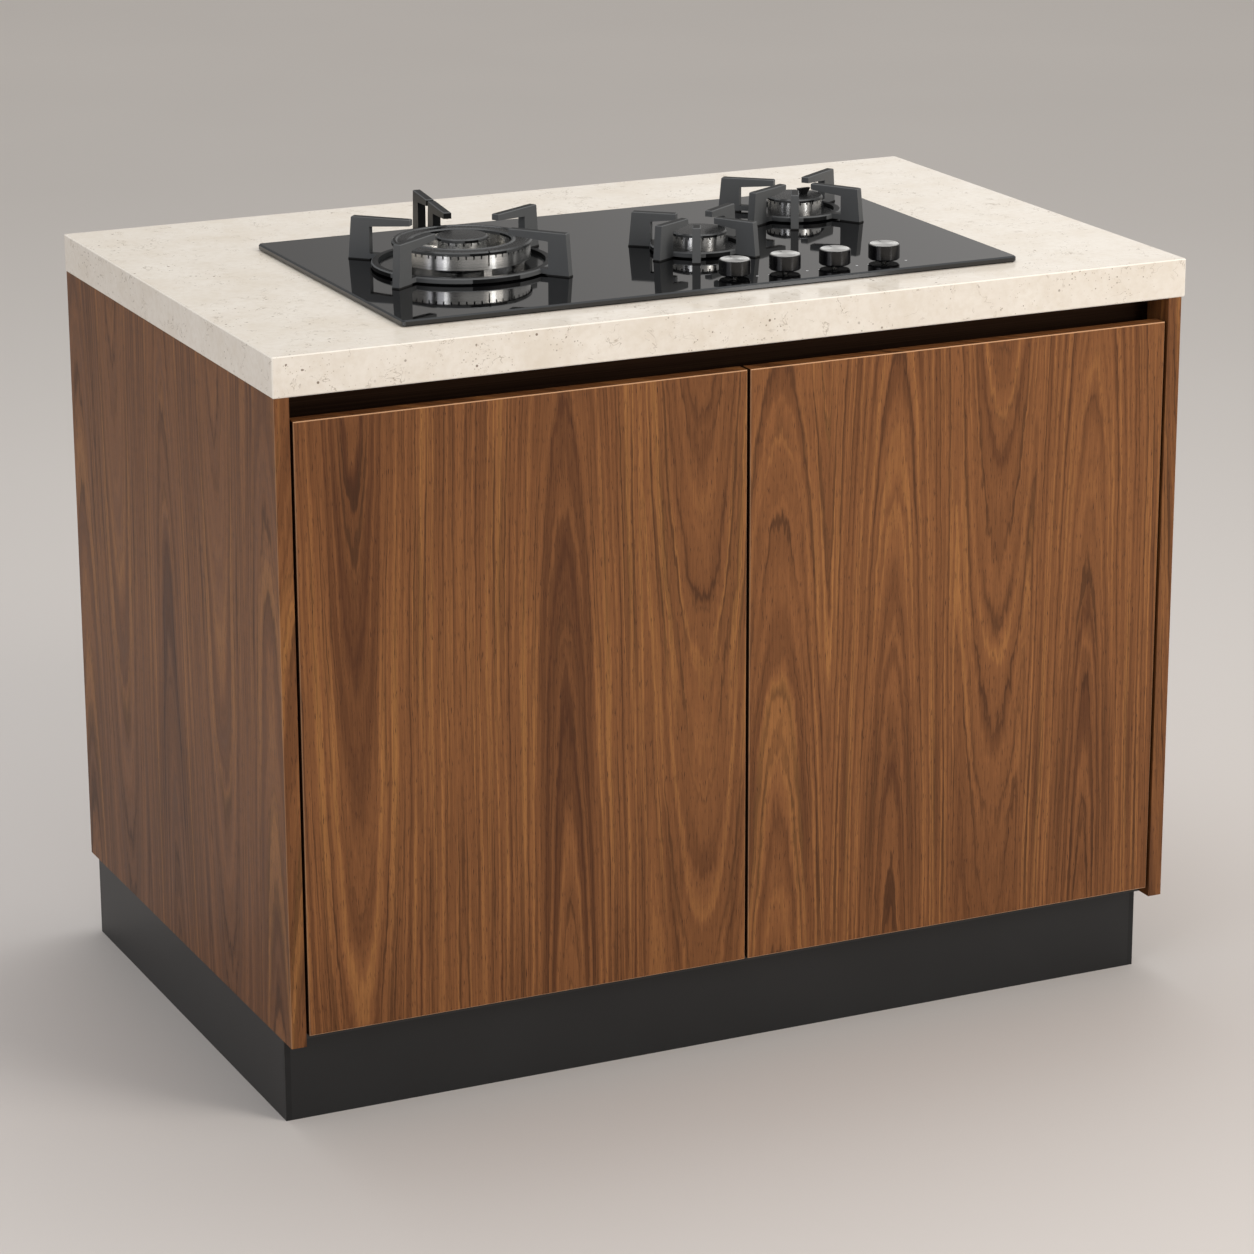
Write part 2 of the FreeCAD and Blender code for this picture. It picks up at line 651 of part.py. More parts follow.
def centred(name, width, depth, height, z, x="hob_centre_x", y="hob_centre_y"):
    """A block centred on the hob."""
    return block(name, width, depth, height, "%s - (%s) / 2" % (x, width),
                 "%s - (%s) / 2" % (y, depth), z)


def rounded(name, base, radius):
    """Round a block's four upright corners."""
    doc.recompute()
    return soften("Part::Fillet", name, base, running(base.Shape), size(radius))


def worktop():
    slab = block("worktop_slab", "unit_width", "unit_depth", "worktop_thickness",
                 "-unit_width / 2", "-unit_depth / 2", "top_under")
    slab = rounded("worktop_corners", slab, "worktop_corner")
    doc.recompute()
    bounds = slab.Shape.BoundBox
    rims = edges_where(slab.Shape, lambda point: abs(point.z - bounds.ZMax) < CLOSE)
    rims += edges_where(slab.Shape, lambda point: abs(point.z - bounds.ZMin) < CLOSE)
    slab = soften("Part::Chamfer", "worktop_edges", slab, rims, size("worktop_arris"))
    hole = centred("worktop_hole", "cutout_width", "cutout_depth", "worktop_thickness",
                   "top_under")
    hole = rounded("worktop_hole_corners", hole, "cutout_corner")
    keep("worktop", cut("worktop_cut", slab, hole))


def burner_places():
    return (("wok", "wok_x", "wok_y", "wok_cup"),
            ("middle", "middle_x", "middle_y", "small_cup"),
            ("rear", "rear_x", "rear_y", "small_cup"))


def knob_x(number):
    return "hob_centre_x + knob_first_x + knob_pitch * %d" % number


KNOB_Y = "hob_centre_y + knob_row_y"


def hob_glass():
    """The black glass, bevelled on top, with its burner and spindle holes."""
    pane = centred("glass_pane", "hob_width", "hob_depth", "glass_thickness", "glass_under")
    pane = rounded("glass_corners", pane, "glass_corner")
    doc.recompute()
    top = pane.Shape.BoundBox.ZMax
    rim = edges_where(pane.Shape, lambda point: abs(point.z - top) < CLOSE)
    pane = soften("Part::Chamfer", "glass_bevel_edge", pane, rim, size("glass_bevel"))
    holes = []
    for tag, x, y, radius in burner_places():
        holes.append(rod("glass_hole_" + tag, radius + " + hole_gap", "glass_thickness",
                         "hob_centre_x + " + x, "hob_centre_y + " + y, "glass_under"))
    for number in range(4):
        holes.append(rod("glass_knob_hole_%d" % number, "spindle_radius + spindle_glass_gap",
                         "glass_thickness", knob_x(number), KNOB_Y, "glass_under"))
    keep("hob_glass", cut("glass_cut", pane, *holes))


def hob_seal():
    outer = centred("seal_outer", "hob_width - 2 * seal_inset", "hob_depth - 2 * seal_inset",
                    "seal_thickness", "unit_height")
    inner = centred("seal_inner", "hob_width - 2 * (seal_inset + seal_width)",
                    "hob_depth - 2 * (seal_inset + seal_width)", "seal_thickness",
                    "unit_height")
    keep("hob_seal", cut("seal_cut", outer, inner))


def burner_tray():
    """The pressed tray that hangs under the glass inside the worktop's cut-out."""
    shell = centred("tray_shell", "tray_width", "tray_length", "tray_depth",
                    "glass_under - tray_depth")
    shell = rounded("tray_shell_corners", shell, "cutout_corner")
    room = centred("tray_room", "tray_width - 2 * tray_wall", "tray_length - 2 * tray_wall",
                   "tray_depth - tray_wall", "tray_floor")
    room = rounded("tray_room_corners", room, "cutout_corner")
    hole = rod("tray_inlet_hole", "inlet_radius + inlet_hole_gap", "tray_wall",
               "inlet_line_x", "inlet_line_y", "tray_floor - tray_wall")
    keep("burner_tray", cut("tray_cut", shell, room, hole))


def hob_clamps():
    """Four angle clamps on the tray's ends, pulling up against the worktop's underside."""
    clamps = []
    foot_z = "top_under - clamp_wall"
    for side, way in (("left", -1), ("right", 1)):
        wall = "hob_centre_x + tray_width / 2 * %d" % way
        leg_x = wall if way > 0 else wall + " - clamp_wall"
        foot_x = wall if way > 0 else wall + " - clamp_foot"
        for end, y_way in (("front", -1), ("back", 1)):
            y = "hob_centre_y + clamp_spread * %d - clamp_width / 2" % y_way
            leg = block("clamp_leg_%s_%s" % (side, end), "clamp_wall", "clamp_width",
                        "clamp_rise", leg_x, y, foot_z)
            foot = block("clamp_foot_%s_%s" % (side, end), "clamp_foot", "clamp_width",
                         "clamp_wall", foot_x, y, foot_z)
            clamps.append(join("clamp_%s_%s" % (side, end), leg, foot))
    keep("hob_clamps", group("hob_clamp_set", *clamps))


def gas_line():
    """Taps under the knobs, the pipe that feeds them and its inlet through the tray."""
    valves = []
    for number in range(4):
        barrel = rod("valve_barrel_%d" % number, "valve_radius", "valve_height",
                     knob_x(number), KNOB_Y, "tray_floor")
        boss = rod("valve_boss_%d" % number, "boss_radius", "boss_height", knob_x(number),
                   KNOB_Y, "tray_floor + valve_height")
        bore = rod("valve_bore_%d" % number, "spindle_radius + spindle_fit",
                   "valve_height + boss_height - valve_bore_floor", knob_x(number), KNOB_Y,
                   "tray_floor + valve_bore_floor")
        valves.append(cut("valve_%d" % number, join("valve_body_%d" % number, barrel, boss),
                          bore))
    keep("gas_valves", group("gas_valve_set", *valves))
    level = "tray_floor + pipe_level"
    along = rod("pipe_along", "pipe_radius", "inlet_line_x - (%s) + pipe_start" % knob_x(0),
                "%s - pipe_start" % knob_x(0), "pipe_line_y", level, "x")
    back = rod("pipe_back", "pipe_radius", "inlet_line_y - elbow_radius - pipe_line_y",
               "inlet_line_x", "pipe_line_y", level, "y")
    bend = doc.addObject("Part::Sphere", "pipe_bend")
    bind(bend, Radius="pipe_radius")
    place(bend, "inlet_line_x", "pipe_line_y", level)
    keep("gas_manifold", join("manifold_pipe", along, back, bend))
    elbow = rod("inlet_elbow", "elbow_radius", "pipe_level + pipe_radius + tray_wall",
                "inlet_line_x", "inlet_line_y", "tray_floor")
    tail = rod("inlet_tail", "inlet_radius", "inlet_drop", "inlet_line_x", "inlet_line_y",
               "tray_floor - inlet_drop")
    nut = doc.addObject("Part::Prism", "inlet_nut")
    bind(nut, Circumradius="inlet_nut", Height="inlet_nut_height")
    place(nut, "inlet_line_x", "inlet_line_y", "tray_floor - tray_wall - inlet_nut_height")
    keep("gas_inlet", join("inlet_fitting", elbow, tail, nut))
    keep("ignition_box", block("ignition_box", "ignition_length", "ignition_width",
                               "ignition_height", "hob_centre_x + ignition_x",
                               "hob_centre_y + ignition_y", "tray_floor"))


# --- burners -------------------------------------------------------------------------------


def at_burner(body, tag, z):
    return place(body, "hob_centre_x + %s_x" % tag, "hob_centre_y + %s_y" % tag, z)


def wok_burner():
    base = new_body("wok_base_body")
    top = "cup_height + disc_top"
    turned(base, "wok_base_turned", [
        ("gas_bore", "0"), ("wok_cup", "0"), ("wok_cup", "cup_height"),
        ("wok_base_radius", "cup_height"), ("wok_base_radius", "cup_height + disc_edge"),
        ("wok_base_radius - disc_edge", top), ("wok_hub", top), ("wok_hub", top + " + wok_hub_height"),
        ("gas_bore", top + " + wok_hub_height")])
    keep("wok_burner_base", at_burner(base, "wok", "tray_floor"))

    head = new_body("wok_head_body")
    hub_top = "wok_hub_height"
    ring_top = "ring_height"
    turned(head, "wok_ring_turned", [
        ("ring_inner", "ring_floor"), ("ring_outer", "ring_floor"), ("ring_outer", ring_top),
        ("ring_outer - ring_wall", ring_top),
        ("ring_outer - ring_wall", "ring_floor + ring_floor_thickness"),
        ("ring_inner + ring_wall", "ring_floor + ring_floor_thickness"),
        ("ring_inner + ring_wall", ring_top), ("ring_inner", ring_top)])
    spoke = padded(head, "wok_spoke", "XY_Plane",
                   rectangle("wok_skirt - seat_gap", "ring_inner + ring_wall / 2",
                             "-spoke_width / 2", "spoke_width / 2"),
                   "spoke_height", "ring_floor")
    around(head, "wok_spokes", spoke, "3")
    turned(head, "wok_centre_turned", [
        ("gas_bore", hub_top), ("wok_hub + seat_gap", hub_top),
        ("wok_hub + seat_gap", hub_top + " - spigot_depth"),
        ("wok_skirt", hub_top + " - spigot_depth"), ("wok_skirt", "ring_floor + spoke_height"),
        ("centre_radius", "centre_neck"), ("centre_radius", "centre_height"),
        ("centre_radius - centre_wall", "centre_height"),
        ("centre_radius - centre_wall", "centre_height - centre_wall"),
        ("gas_bore", "centre_height - centre_wall")])
    leg = padded(head, "wok_head_leg", "XY_Plane",
                 rectangle("ring_outer - ring_wall - head_leg_length",
                           "ring_outer - ring_wall",
                           "-head_leg_width / 2", "head_leg_width / 2"),
                 "ring_floor + ring_floor_thickness / 2")
    around(head, "wok_head_legs", leg, "4")
    slot = pocketed(head, "wok_port",
                    rectangle("ring_outer - ring_wall * 1.5", "ring_outer + ring_wall",
                              "-port_width / 2", "port_width / 2"), "port_depth", ring_top)
    around(head, "wok_port_row", slot, "wok_port_count")
    inner_slot = pocketed(head, "centre_port",
                          rectangle("centre_radius - centre_wall * 1.5",
                                    "centre_radius + centre_wall / 2",
                                    "-port_width / 2", "port_width / 2"),
                          "port_depth", "centre_height")
    around(head, "centre_port_row", inner_slot, "centre_port_count")
    pocketed(head, "wok_wall_slit",
             rectangle("-cross_slit / 2", "cross_slit / 2", "-ring_outer - ring_wall",
                       "ring_wall * 1.5 - ring_outer"),
             "ring_height - ring_floor - ring_floor_thickness", ring_top)
    keep("wok_burner_head", at_burner(head, "wok", "glass_top + disc_top"))

    ring = new_body("wok_ring_cap_body")
    edge = "lip_depth + cap_edge"
    crown = "lip_depth + cap_crown"
    turned(ring, "ring_cap_turned", [
        ("ring_lip_inner", "0"), ("ring_lip_outer", "0"), ("ring_lip_outer", "lip_depth"),
        ("ring_outer + cap_overhang", "lip_depth"), ("ring_outer + cap_overhang", edge),
        ("ring_outer + cap_overhang - cap_bevel", crown),
        ("ring_outer - ring_wall", crown),
        ("ring_outer - ring_wall - cap_bevel", crown + " - ring_cap_dish"),
        ("ring_inner + ring_wall", crown + " - ring_cap_dish"),
        ("ring_inner", crown), ("ring_inner - cap_overhang", edge),
        ("ring_inner - cap_overhang", "lip_depth"), ("ring_lip_inner", "lip_depth")])
    pocketed(ring, "ring_cap_slit",
             rectangle("(ring_inner + ring_outer) / 2", "ring_outer + cap_overhang * 2",
                       "-cross_slit / 2", "cross_slit / 2"),
             crown, crown)
    ring.Placement.Rotation = FreeCAD.Rotation(FreeCAD.Vector(0, 0, 1), size("slit_angle"))
    keep("wok_ring_cap", at_burner(ring, "wok",
                                   "glass_top + disc_top + ring_height - lip_depth"))

    cap = new_body("wok_centre_cap_body")
    round_cap(cap, "centre_cap", "centre_lip_radius",
              "centre_radius + small_overhang", "centre_cap_crown")
    keep("wok_centre_cap", at_burner(cap, "wok",
                                     "glass_top + disc_top + centre_height - lip_depth"))


def round_cap(body, name, lip_radius, radius, crown):
    """A black burner cap: flat crown, bevelled rim and a locating lip underneath."""
    top = "lip_depth + (%s)" % crown
    turned(body, name, [
        ("0", "lip_depth"), (lip_radius + " - cap_lip_wall", "lip_depth"),
        (lip_radius + " - cap_lip_wall", "0"), (lip_radius, "0"), (lip_radius, "lip_depth"),
        (radius, "lip_depth"), (radius, top + " - cap_bevel"),
        (radius + " - cap_bevel", top + " - cap_dome"), ("0", top)])


def small_burner(tag):
    base = new_body(tag + "_base_body")
    top = "cup_height + small_disc_top"
    turned(base, tag + "_base_turned", [
        ("gas_bore / 2", "0"), ("small_cup", "0"), ("small_cup", "cup_height"),
        ("small_base_radius", "cup_height"), ("small_base_radius", "cup_height + small_disc_edge"),
        ("small_base_radius - small_disc_edge", top), ("small_spigot + seat_gap", top),
        ("small_spigot + seat_gap", top + " - spigot_depth"),
        ("gas_bore / 2", top + " - spigot_depth")])
    keep(tag + "_burner_base", at_burner(base, tag, "tray_floor"))

    head = new_body(tag + "_head_body")
    high = "small_height"
    turned(head, tag + "_head_turned", [
        ("gas_bore", "0"), ("small_spigot", "0"), ("small_spigot", "spigot_depth"),
        ("small_radius", "spigot_depth"), ("small_radius", high),
        ("small_radius - small_wall", high),
        ("small_radius - small_wall", high + " - small_bowl"),
        ("gas_bore", high + " - small_bowl")])
    slot = pocketed(head, tag + "_port",
                    rectangle("small_radius - small_wall * 1.5", "small_radius + small_wall",
                              "-port_width / 2", "port_width / 2"), "small_port_depth", high)
    around(head, tag + "_port_row", slot, "small_port_count")
    seat = "glass_top + small_disc_top - spigot_depth"
    keep(tag + "_burner_head", at_burner(head, tag, seat))

    cap = new_body(tag + "_cap_body")
    round_cap(cap, tag + "_cap", "cap_lip_radius", "small_radius + small_overhang",
              "cap_crown")
    if tag == "rear":
        crown = "lip_depth + cap_crown"
        padded(cap, "cap_lug", "XZ_Plane",
               [("lug_place - lug_foot / 2", crown + " - cap_dome * 2"),
                ("lug_place + lug_foot / 2", crown + " - cap_dome * 2"),
                ("lug_place + lug_width / 2", crown + " + lug_height"),
                ("lug_place - lug_width / 2", crown + " + lug_height")],
               "lug_thickness", both_ways=True)
    keep(tag + "_burner_cap", at_burner(cap, tag, seat + " + %s - lip_depth" % high))


def spark_plugs():
    """One ceramic spark plug on each burner base, beside the head."""
    plugs = []
    for tag, reach, base in (("wok", "wok_plug_place", "disc_top"),
                             ("middle", "small_plug_place", "small_disc_top"),
                             ("rear", "small_plug_place", "small_disc_top")):
        x = "hob_centre_x + %s_x + %s * cos(60 deg)" % (tag, reach)
        y = "hob_centre_y + %s_y + %s * sin(60 deg)" % (tag, reach)
        foot = "glass_top + " + base
        collar = rod("plug_body_" + tag, "plug_radius", "plug_height", x, y, foot)
        tip = rod("plug_tip_" + tag, "plug_tip", "plug_tip_height", x, y,
                  foot + " + plug_height")
        plugs.append(join("plug_" + tag, collar, tip))
    keep("spark_plugs", group("spark_plug_set", *plugs))


# --- pan supports --------------------------------------------------------------------------


def finger_outline(reach, tip, ring, height):
    """One cast finger in the upright plane: tapered leg, arm over the burner, foot bar."""
    bar_top = "grid_clearance + grid_bar"
    crest = reach + " - finger_taper"
    return [(reach, "0"), (crest, height), (tip, height), (tip, height + " - arm_tip_depth"),
            (crest + " - finger_leg", height + " - arm_root_depth"),
            (reach + " - finger_leg_foot", bar_top), (ring, bar_top),
            (ring, "grid_clearance"), (reach + " - finger_leg_foot", "grid_clearance"),
            (reach + " - finger_leg_foot", "0")]


def ring_outline(ring):
    inner = ring + " - grid_ring_width"
    return [(inner, "grid_clearance"), (ring, "grid_clearance"),
            (ring, "grid_clearance + grid_bar - grid_bevel"),
            (ring + " - grid_bevel", "grid_clearance + grid_bar"),
            (inner, "grid_clearance + grid_bar")]


def pan_support(tag, ring, height, fingers):
    """A cast pan support: a low ring round the burner and the fingers that rise from it."""
    body = new_body(tag + "_support_body")
    turned(body, tag + "_support_ring_turned", ring_outline(ring))
    for name, angle, reach, tip, root in fingers:
        padded(body, "%s_%s_finger" % (tag, name), "XZ_Plane",
               finger_outline(reach, tip, root, height), "finger_thickness",
               both_ways=True, turn=angle)
    at_burner(body, tag, "glass_top")
    break_edges(body, tag, height)
    keep(tag + "_support", body)


def break_edges(body, tag, height):
    """Take the sharp casting edges off the tops of the fingers."""
    doc.recompute()
    crest = size(height) - CLOSE
    casting = body.Tip
    numbers = edges_where(casting.Shape, lambda point: point.z > crest)
    arris = body.newObject("PartDesign::Chamfer", tag + "_support_arris")
    arris.Base = (casting, ["Edge%d" % number for number in numbers])
    arris.setExpression("Size", formula("finger_arris"))
    body.Tip = arris


def pan_supports():
    reach, tip = "wok_support_reach", "wok_support_tip"
    root = "wok_support_ring - grid_ring_width / 2"
    fingers = [("back", "wok_back_angle", reach, tip, root),
               ("far_back", "wok_back_angle", "back_finger_reach", reach + " + finger_taper",
                reach + " - finger_leg_foot / 2")]
    for pair, spread in (("near", "wok_near_pair_angle"), ("far", "wok_far_pair_angle")):
        for side, sign in (("left", "+"), ("right", "-")):
            fingers.append(("%s_%s" % (pair, side), "wok_back_angle %s %s" % (sign, spread),
                            reach, tip, root))
    pan_support("wok", "wok_support_ring", "wok_support_height", fingers)

    tip = "small_support_tip"
    root = "small_support_ring - grid_ring_width / 2"
    for tag, reach in (("middle", "middle_support_reach"), ("rear", "rear_support_reach")):
        pan_support(tag, "small_support_ring", "small_support_height", [
            ("front", "front_finger_angle", reach, "front_finger_tip", root),
            ("right", "right_finger_angle", reach, tip, root),
            ("back_right", "back_right_finger_angle", reach, tip, root),
            ("back_left", "back_left_finger_angle", reach, tip, root),
            ("left", "left_finger_angle", reach, tip, root)])


# --- knobs ---------------------------------------------------------------------------------


def knobs():
    """Push-and-turn knobs: a black barrel, an aluminium top disc and the tap's spindle."""
    bore = "spindle_radius + spindle_fit"
    seat = "knob_height - disc_recess"
    well = "knob_radius - knob_rim"
    disc = "knob_radius - knob_rim - disc_fit"
    spindle_foot = "tray_floor + valve_bore_floor + spindle_clearance"
    for number in range(4):
        tag = "%d" % (number + 1)
        x = knob_x(number)
        barrel = new_body("knob_body_" + tag)
        turned(barrel, "knob_turned_" + tag, [
            (bore, "0"), ("knob_radius - knob_foot_bevel", "0"),
            ("knob_radius", "knob_foot_bevel"), ("knob_radius", "knob_height - knob_arris"),
            ("knob_radius - knob_arris", "knob_height"), (well, "knob_height"), (well, seat),
            ("0", seat), ("0", "knob_bore_depth"), (bore, "knob_bore_depth")])
        keep("knob_" + tag, place(barrel, x, KNOB_Y, "glass_top + knob_gap"))
        top = new_body("knob_disc_body_" + tag)
        turned(top, "knob_disc_turned_" + tag, [
            ("0", "0"), (disc, "0"), (disc, "disc_thickness - disc_arris"),
            (disc + " - disc_arris", "disc_thickness"), ("0", "disc_thickness")])
        keep("knob_disc_" + tag, place(top, x, KNOB_Y, "glass_top + knob_gap + " + seat))
        keep("spindle_" + tag,
             rod("spindle_rod_" + tag, "spindle_radius",
                 "glass_top + knob_gap + spindle_hold - (%s)" % spindle_foot,
                 x, KNOB_Y, spindle_foot))


def check_and_write():
    """Refuse a broken feature or an empty sub-part, then write one file for each sub-part."""
    doc.recompute()
    for item in doc.Objects:
        if any(word in item.State for word in ("Invalid", "Error")):
            raise RuntimeError("%s is %s" % (item.Name, item.State))
    os.makedirs("parts", exist_ok=True)
    for thing in subparts:
        shape = thing.Shape
        if shape.isNull() or not shape.isValid() or not shape.Solids:
            raise RuntimeError("%s has no valid solid" % thing.Label)
        shape.exportStep("parts/%s.step" % thing.Label)


write_sheet()
plinth()
plinth_trims()
legs()
cladding()
carcass()
shelves()
handle_channels()
doors()
worktop()
hob_glass()
hob_seal()
burner_tray()
hob_clamps()
gas_line()
wok_burner()
small_burner("middle")
small_burner("rear")
spark_plugs()
pan_supports()
knobs()
check_and_write()
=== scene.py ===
import math

import bpy
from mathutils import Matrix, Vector


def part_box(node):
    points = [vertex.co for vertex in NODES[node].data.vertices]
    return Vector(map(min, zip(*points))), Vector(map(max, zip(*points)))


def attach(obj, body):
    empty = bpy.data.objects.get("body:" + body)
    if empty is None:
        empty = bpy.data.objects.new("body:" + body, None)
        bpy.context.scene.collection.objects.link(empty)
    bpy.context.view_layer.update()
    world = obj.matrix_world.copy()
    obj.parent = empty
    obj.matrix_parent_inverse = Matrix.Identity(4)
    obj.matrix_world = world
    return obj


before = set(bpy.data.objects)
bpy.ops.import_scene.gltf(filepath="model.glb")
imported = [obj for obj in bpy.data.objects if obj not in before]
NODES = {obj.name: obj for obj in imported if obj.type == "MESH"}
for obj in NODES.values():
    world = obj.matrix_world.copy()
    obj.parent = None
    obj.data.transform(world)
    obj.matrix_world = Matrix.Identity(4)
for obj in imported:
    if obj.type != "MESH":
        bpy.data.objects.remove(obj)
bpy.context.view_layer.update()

# Kitchen island unit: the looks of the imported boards, stone, hob and fittings.
# Metres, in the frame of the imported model. Sizes written in millimetres carry MM.

MM = 0.001


# --- small tools ---------------------------------------------------------------------------


def linear(hex_text):
    """An sRGB hex colour as the linear colour that a shader takes."""
    channels = [int(hex_text[i:i + 2], 16) / 255 for i in (0, 2, 4)]
    return [c / 12.92 if c <= 0.04045 else ((c + 0.055) / 1.055) ** 2.4
            for c in channels] + [1.0]


def node(tree, kind, inputs=(), out=0, stops=(), **settings):
    """Add a node with its settings, set or link its inputs, and give back one of its outputs.

    Inputs are counted from 0, or named where they come as a dict. Stops are a ramp's
    (place, hex colour) pairs. With out=None all the outputs are given back.
    """
    made = tree.nodes.new(kind)
    for option, value in settings.items():
        setattr(made, option, value)
    while stops and len(made.color_ramp.elements) < len(stops):
        made.color_ramp.elements.new(0.5)
    for count, (place, colour) in enumerate(stops):
        made.color_ramp.elements[count].position = place
        made.color_ramp.elements[count].color = linear(colour)
    named = inputs if isinstance(inputs, dict) else dict(enumerate(inputs))
    for key, value in named.items():
        if isinstance(value, bpy.types.NodeSocket):
            tree.links.new(value, made.inputs[key])
        else:
            made.inputs[key].default_value = value
    if out is None:
        return made.outputs
    return made.outputs[out] if len(made.outputs) else None


def material(name, roughness, metallic=0.0, **sockets):
    """A new material with its shader's even values set: its tree, shader and place on the piece."""
    made = bpy.data.materials.new(name)
    made.use_nodes = True
    tree = made.node_tree
    shader = tree.nodes["Principled BSDF"]
    shader.inputs["Roughness"].default_value = roughness
    shader.inputs["Metallic"].default_value = metallic
    for socket, value in sockets.items():
        shader.inputs[socket.replace("_", " ")].default_value = value
    return made, tree, shader, node(tree, "ShaderNodeTexCoord", out=None)


def lay_on(tree, shader, **results):
    """Link results to the shader's sockets of these names, with _ for a space."""
    for socket, result in results.items():
        tree.links.new(result, shader.inputs[socket.replace("_", " ")])


def grain(tree, place, cell_mm, shift=0.0, detail=2.0, roughness=0.5, distortion=0.0):
    """A natural surface's unevenness, in cells of (x, y, z) millimetres."""
    scale = [1 / (side * MM) for side in cell_mm]
    cells = node(tree, "ShaderNodeMapping", {"Vector": place, "Location": (shift, shift, shift),
                                             "Scale": scale}, vector_type="POINT")
    return node(tree, "ShaderNodeTexNoise",
                {"Vector": cells, "Scale": 1.0, "Detail": detail, "Roughness": roughness,
                 "Distortion": distortion})


# A face is flat, and no eased corner, where its normal runs this far along one axis.
FLAT_FACE = 0.96


def arris(tree, where):
    """1 on the narrow slanting faces that ease a board's corners, 0 on its flat faces."""
    facing = node(tree, "ShaderNodeVectorMath", (where["Normal"],), operation="ABSOLUTE")
    parts = node(tree, "ShaderNodeSeparateXYZ", (facing,), None)
    most = node(tree, "ShaderNodeMath", (parts[0], parts[1]), operation="MAXIMUM")
    most = node(tree, "ShaderNodeMath", (most, parts[2]), operation="MAXIMUM")
    return node(tree, "ShaderNodeMath", (most, FLAT_FACE), operation="LESS_THAN")


def painted_edge_highlight(tree, where, colour, strength, highlight_hex):
    """The colour, with the eased corners drawn towards a pale colour: a painted highlight."""
    share = node(tree, "ShaderNodeMath", (arris(tree, where), strength), operation="MULTIPLY")
    return node(tree, "ShaderNodeMix", {0: share, 6: colour, 7: linear(highlight_hex)}, 2,
                data_type="RGBA")


# --- wood ----------------------------------------------------------------------------------


# How the veneer's hearts lie: (place along the board, height where the cut met it), in mm.
# A heart met below the board gives arches that point up, one met above it gives vees.
# The place runs with X on the doors and goes on round the corners with Y.
HEART_SLOPE = 0.042
FRONT_FACE_Y = -359
LEFT_DOOR_HEARTS = ((-486, 1300), (-232, -130), (-60, 2300))
RIGHT_DOOR_HEARTS = ((40, -1100), (190, -330), (330, 2300), (455, -150))
END_PANEL_HEARTS = ((-540, -1300), (-380, 2300), (-200, -600), (-20, 2300), (120, -1300),
                    (620, 2300), (790, -700), (960, 2300), (1120, -600), (1260, 2300))
BACK_HEARTS = ((220, -500), (420, 2200), (620, -300), (820, 2200), (1010, -420), (1210, 2100))


def growth_rings(tree, place, parts, hearts, seed):
    """Distance of a spot from the nearest heart of the log, so that rings become arches."""
    sway = grain(tree, place, (240, 240, 620), seed)
    sway = node(tree, "ShaderNodeMapRange", (sway, 0.0, 1.0, -9 * MM, 9 * MM))
    level = node(tree, "ShaderNodeMath", (parts[1], FRONT_FACE_Y * MM), operation="SUBTRACT")
    along = node(tree, "ShaderNodeMath", (parts[0], level), operation="ADD")
    along = node(tree, "ShaderNodeMath", (along, sway), operation="ADD")
    ripple = grain(tree, place, (700, 700, 190), seed + 3, 1.5)
    ripple = node(tree, "ShaderNodeMapRange", (ripple, 0.0, 1.0, -3.5 * MM, 3.5 * MM))
    nearest = None
    for spot, start in hearts:
        side = node(tree, "ShaderNodeMath", (along, spot * MM), operation="SUBTRACT")
        climb = node(tree, "ShaderNodeMath",
                     (parts[2], HEART_SLOPE, -start * MM * HEART_SLOPE),
                     operation="MULTIPLY_ADD")
        away = node(tree, "ShaderNodeMath", (climb, ripple), operation="ADD")
        square = node(tree, "ShaderNodeMath", (away, away), operation="MULTIPLY")
        square = node(tree, "ShaderNodeMath", (side, side, square), operation="MULTIPLY_ADD")
        reach = node(tree, "ShaderNodeMath", (square,), operation="SQRT")
        if nearest is None:
            nearest = reach
        else:
            nearest = node(tree, "ShaderNodeMath", (nearest, reach, 12 * MM),
                           operation="SMOOTH_MIN")
    # The feathered edge that rings have near a heart.
    feather = grain(tree, place, (4.5, 4.5, 34), seed + 5)
    feather = node(tree, "ShaderNodeMapRange", (feather, 0.0, 1.0, -1.5 * MM, 1.5 * MM))
    return node(tree, "ShaderNodeMath", (nearest, feather), operation="ADD")


def ring_stripes(tree, ring, climb, width_mm, length_mm, detail, shift, seed):
    """Stripes of a width that follow the rings, each changing slowly along the grain."""
    count = node(tree, "ShaderNodeMath", (ring, 1 / (width_mm * MM), shift),
                 operation="MULTIPLY_ADD")
    slow = node(tree, "ShaderNodeMath", (climb, 1 / (length_mm * MM)), operation="MULTIPLY")
    spot = node(tree, "ShaderNodeCombineXYZ", (count, slow, seed))
    return node(tree, "ShaderNodeTexNoise",
                {"Vector": spot, "Scale": 1.0, "Detail": detail, "Roughness": 0.6,
                 "Distortion": 0.0})


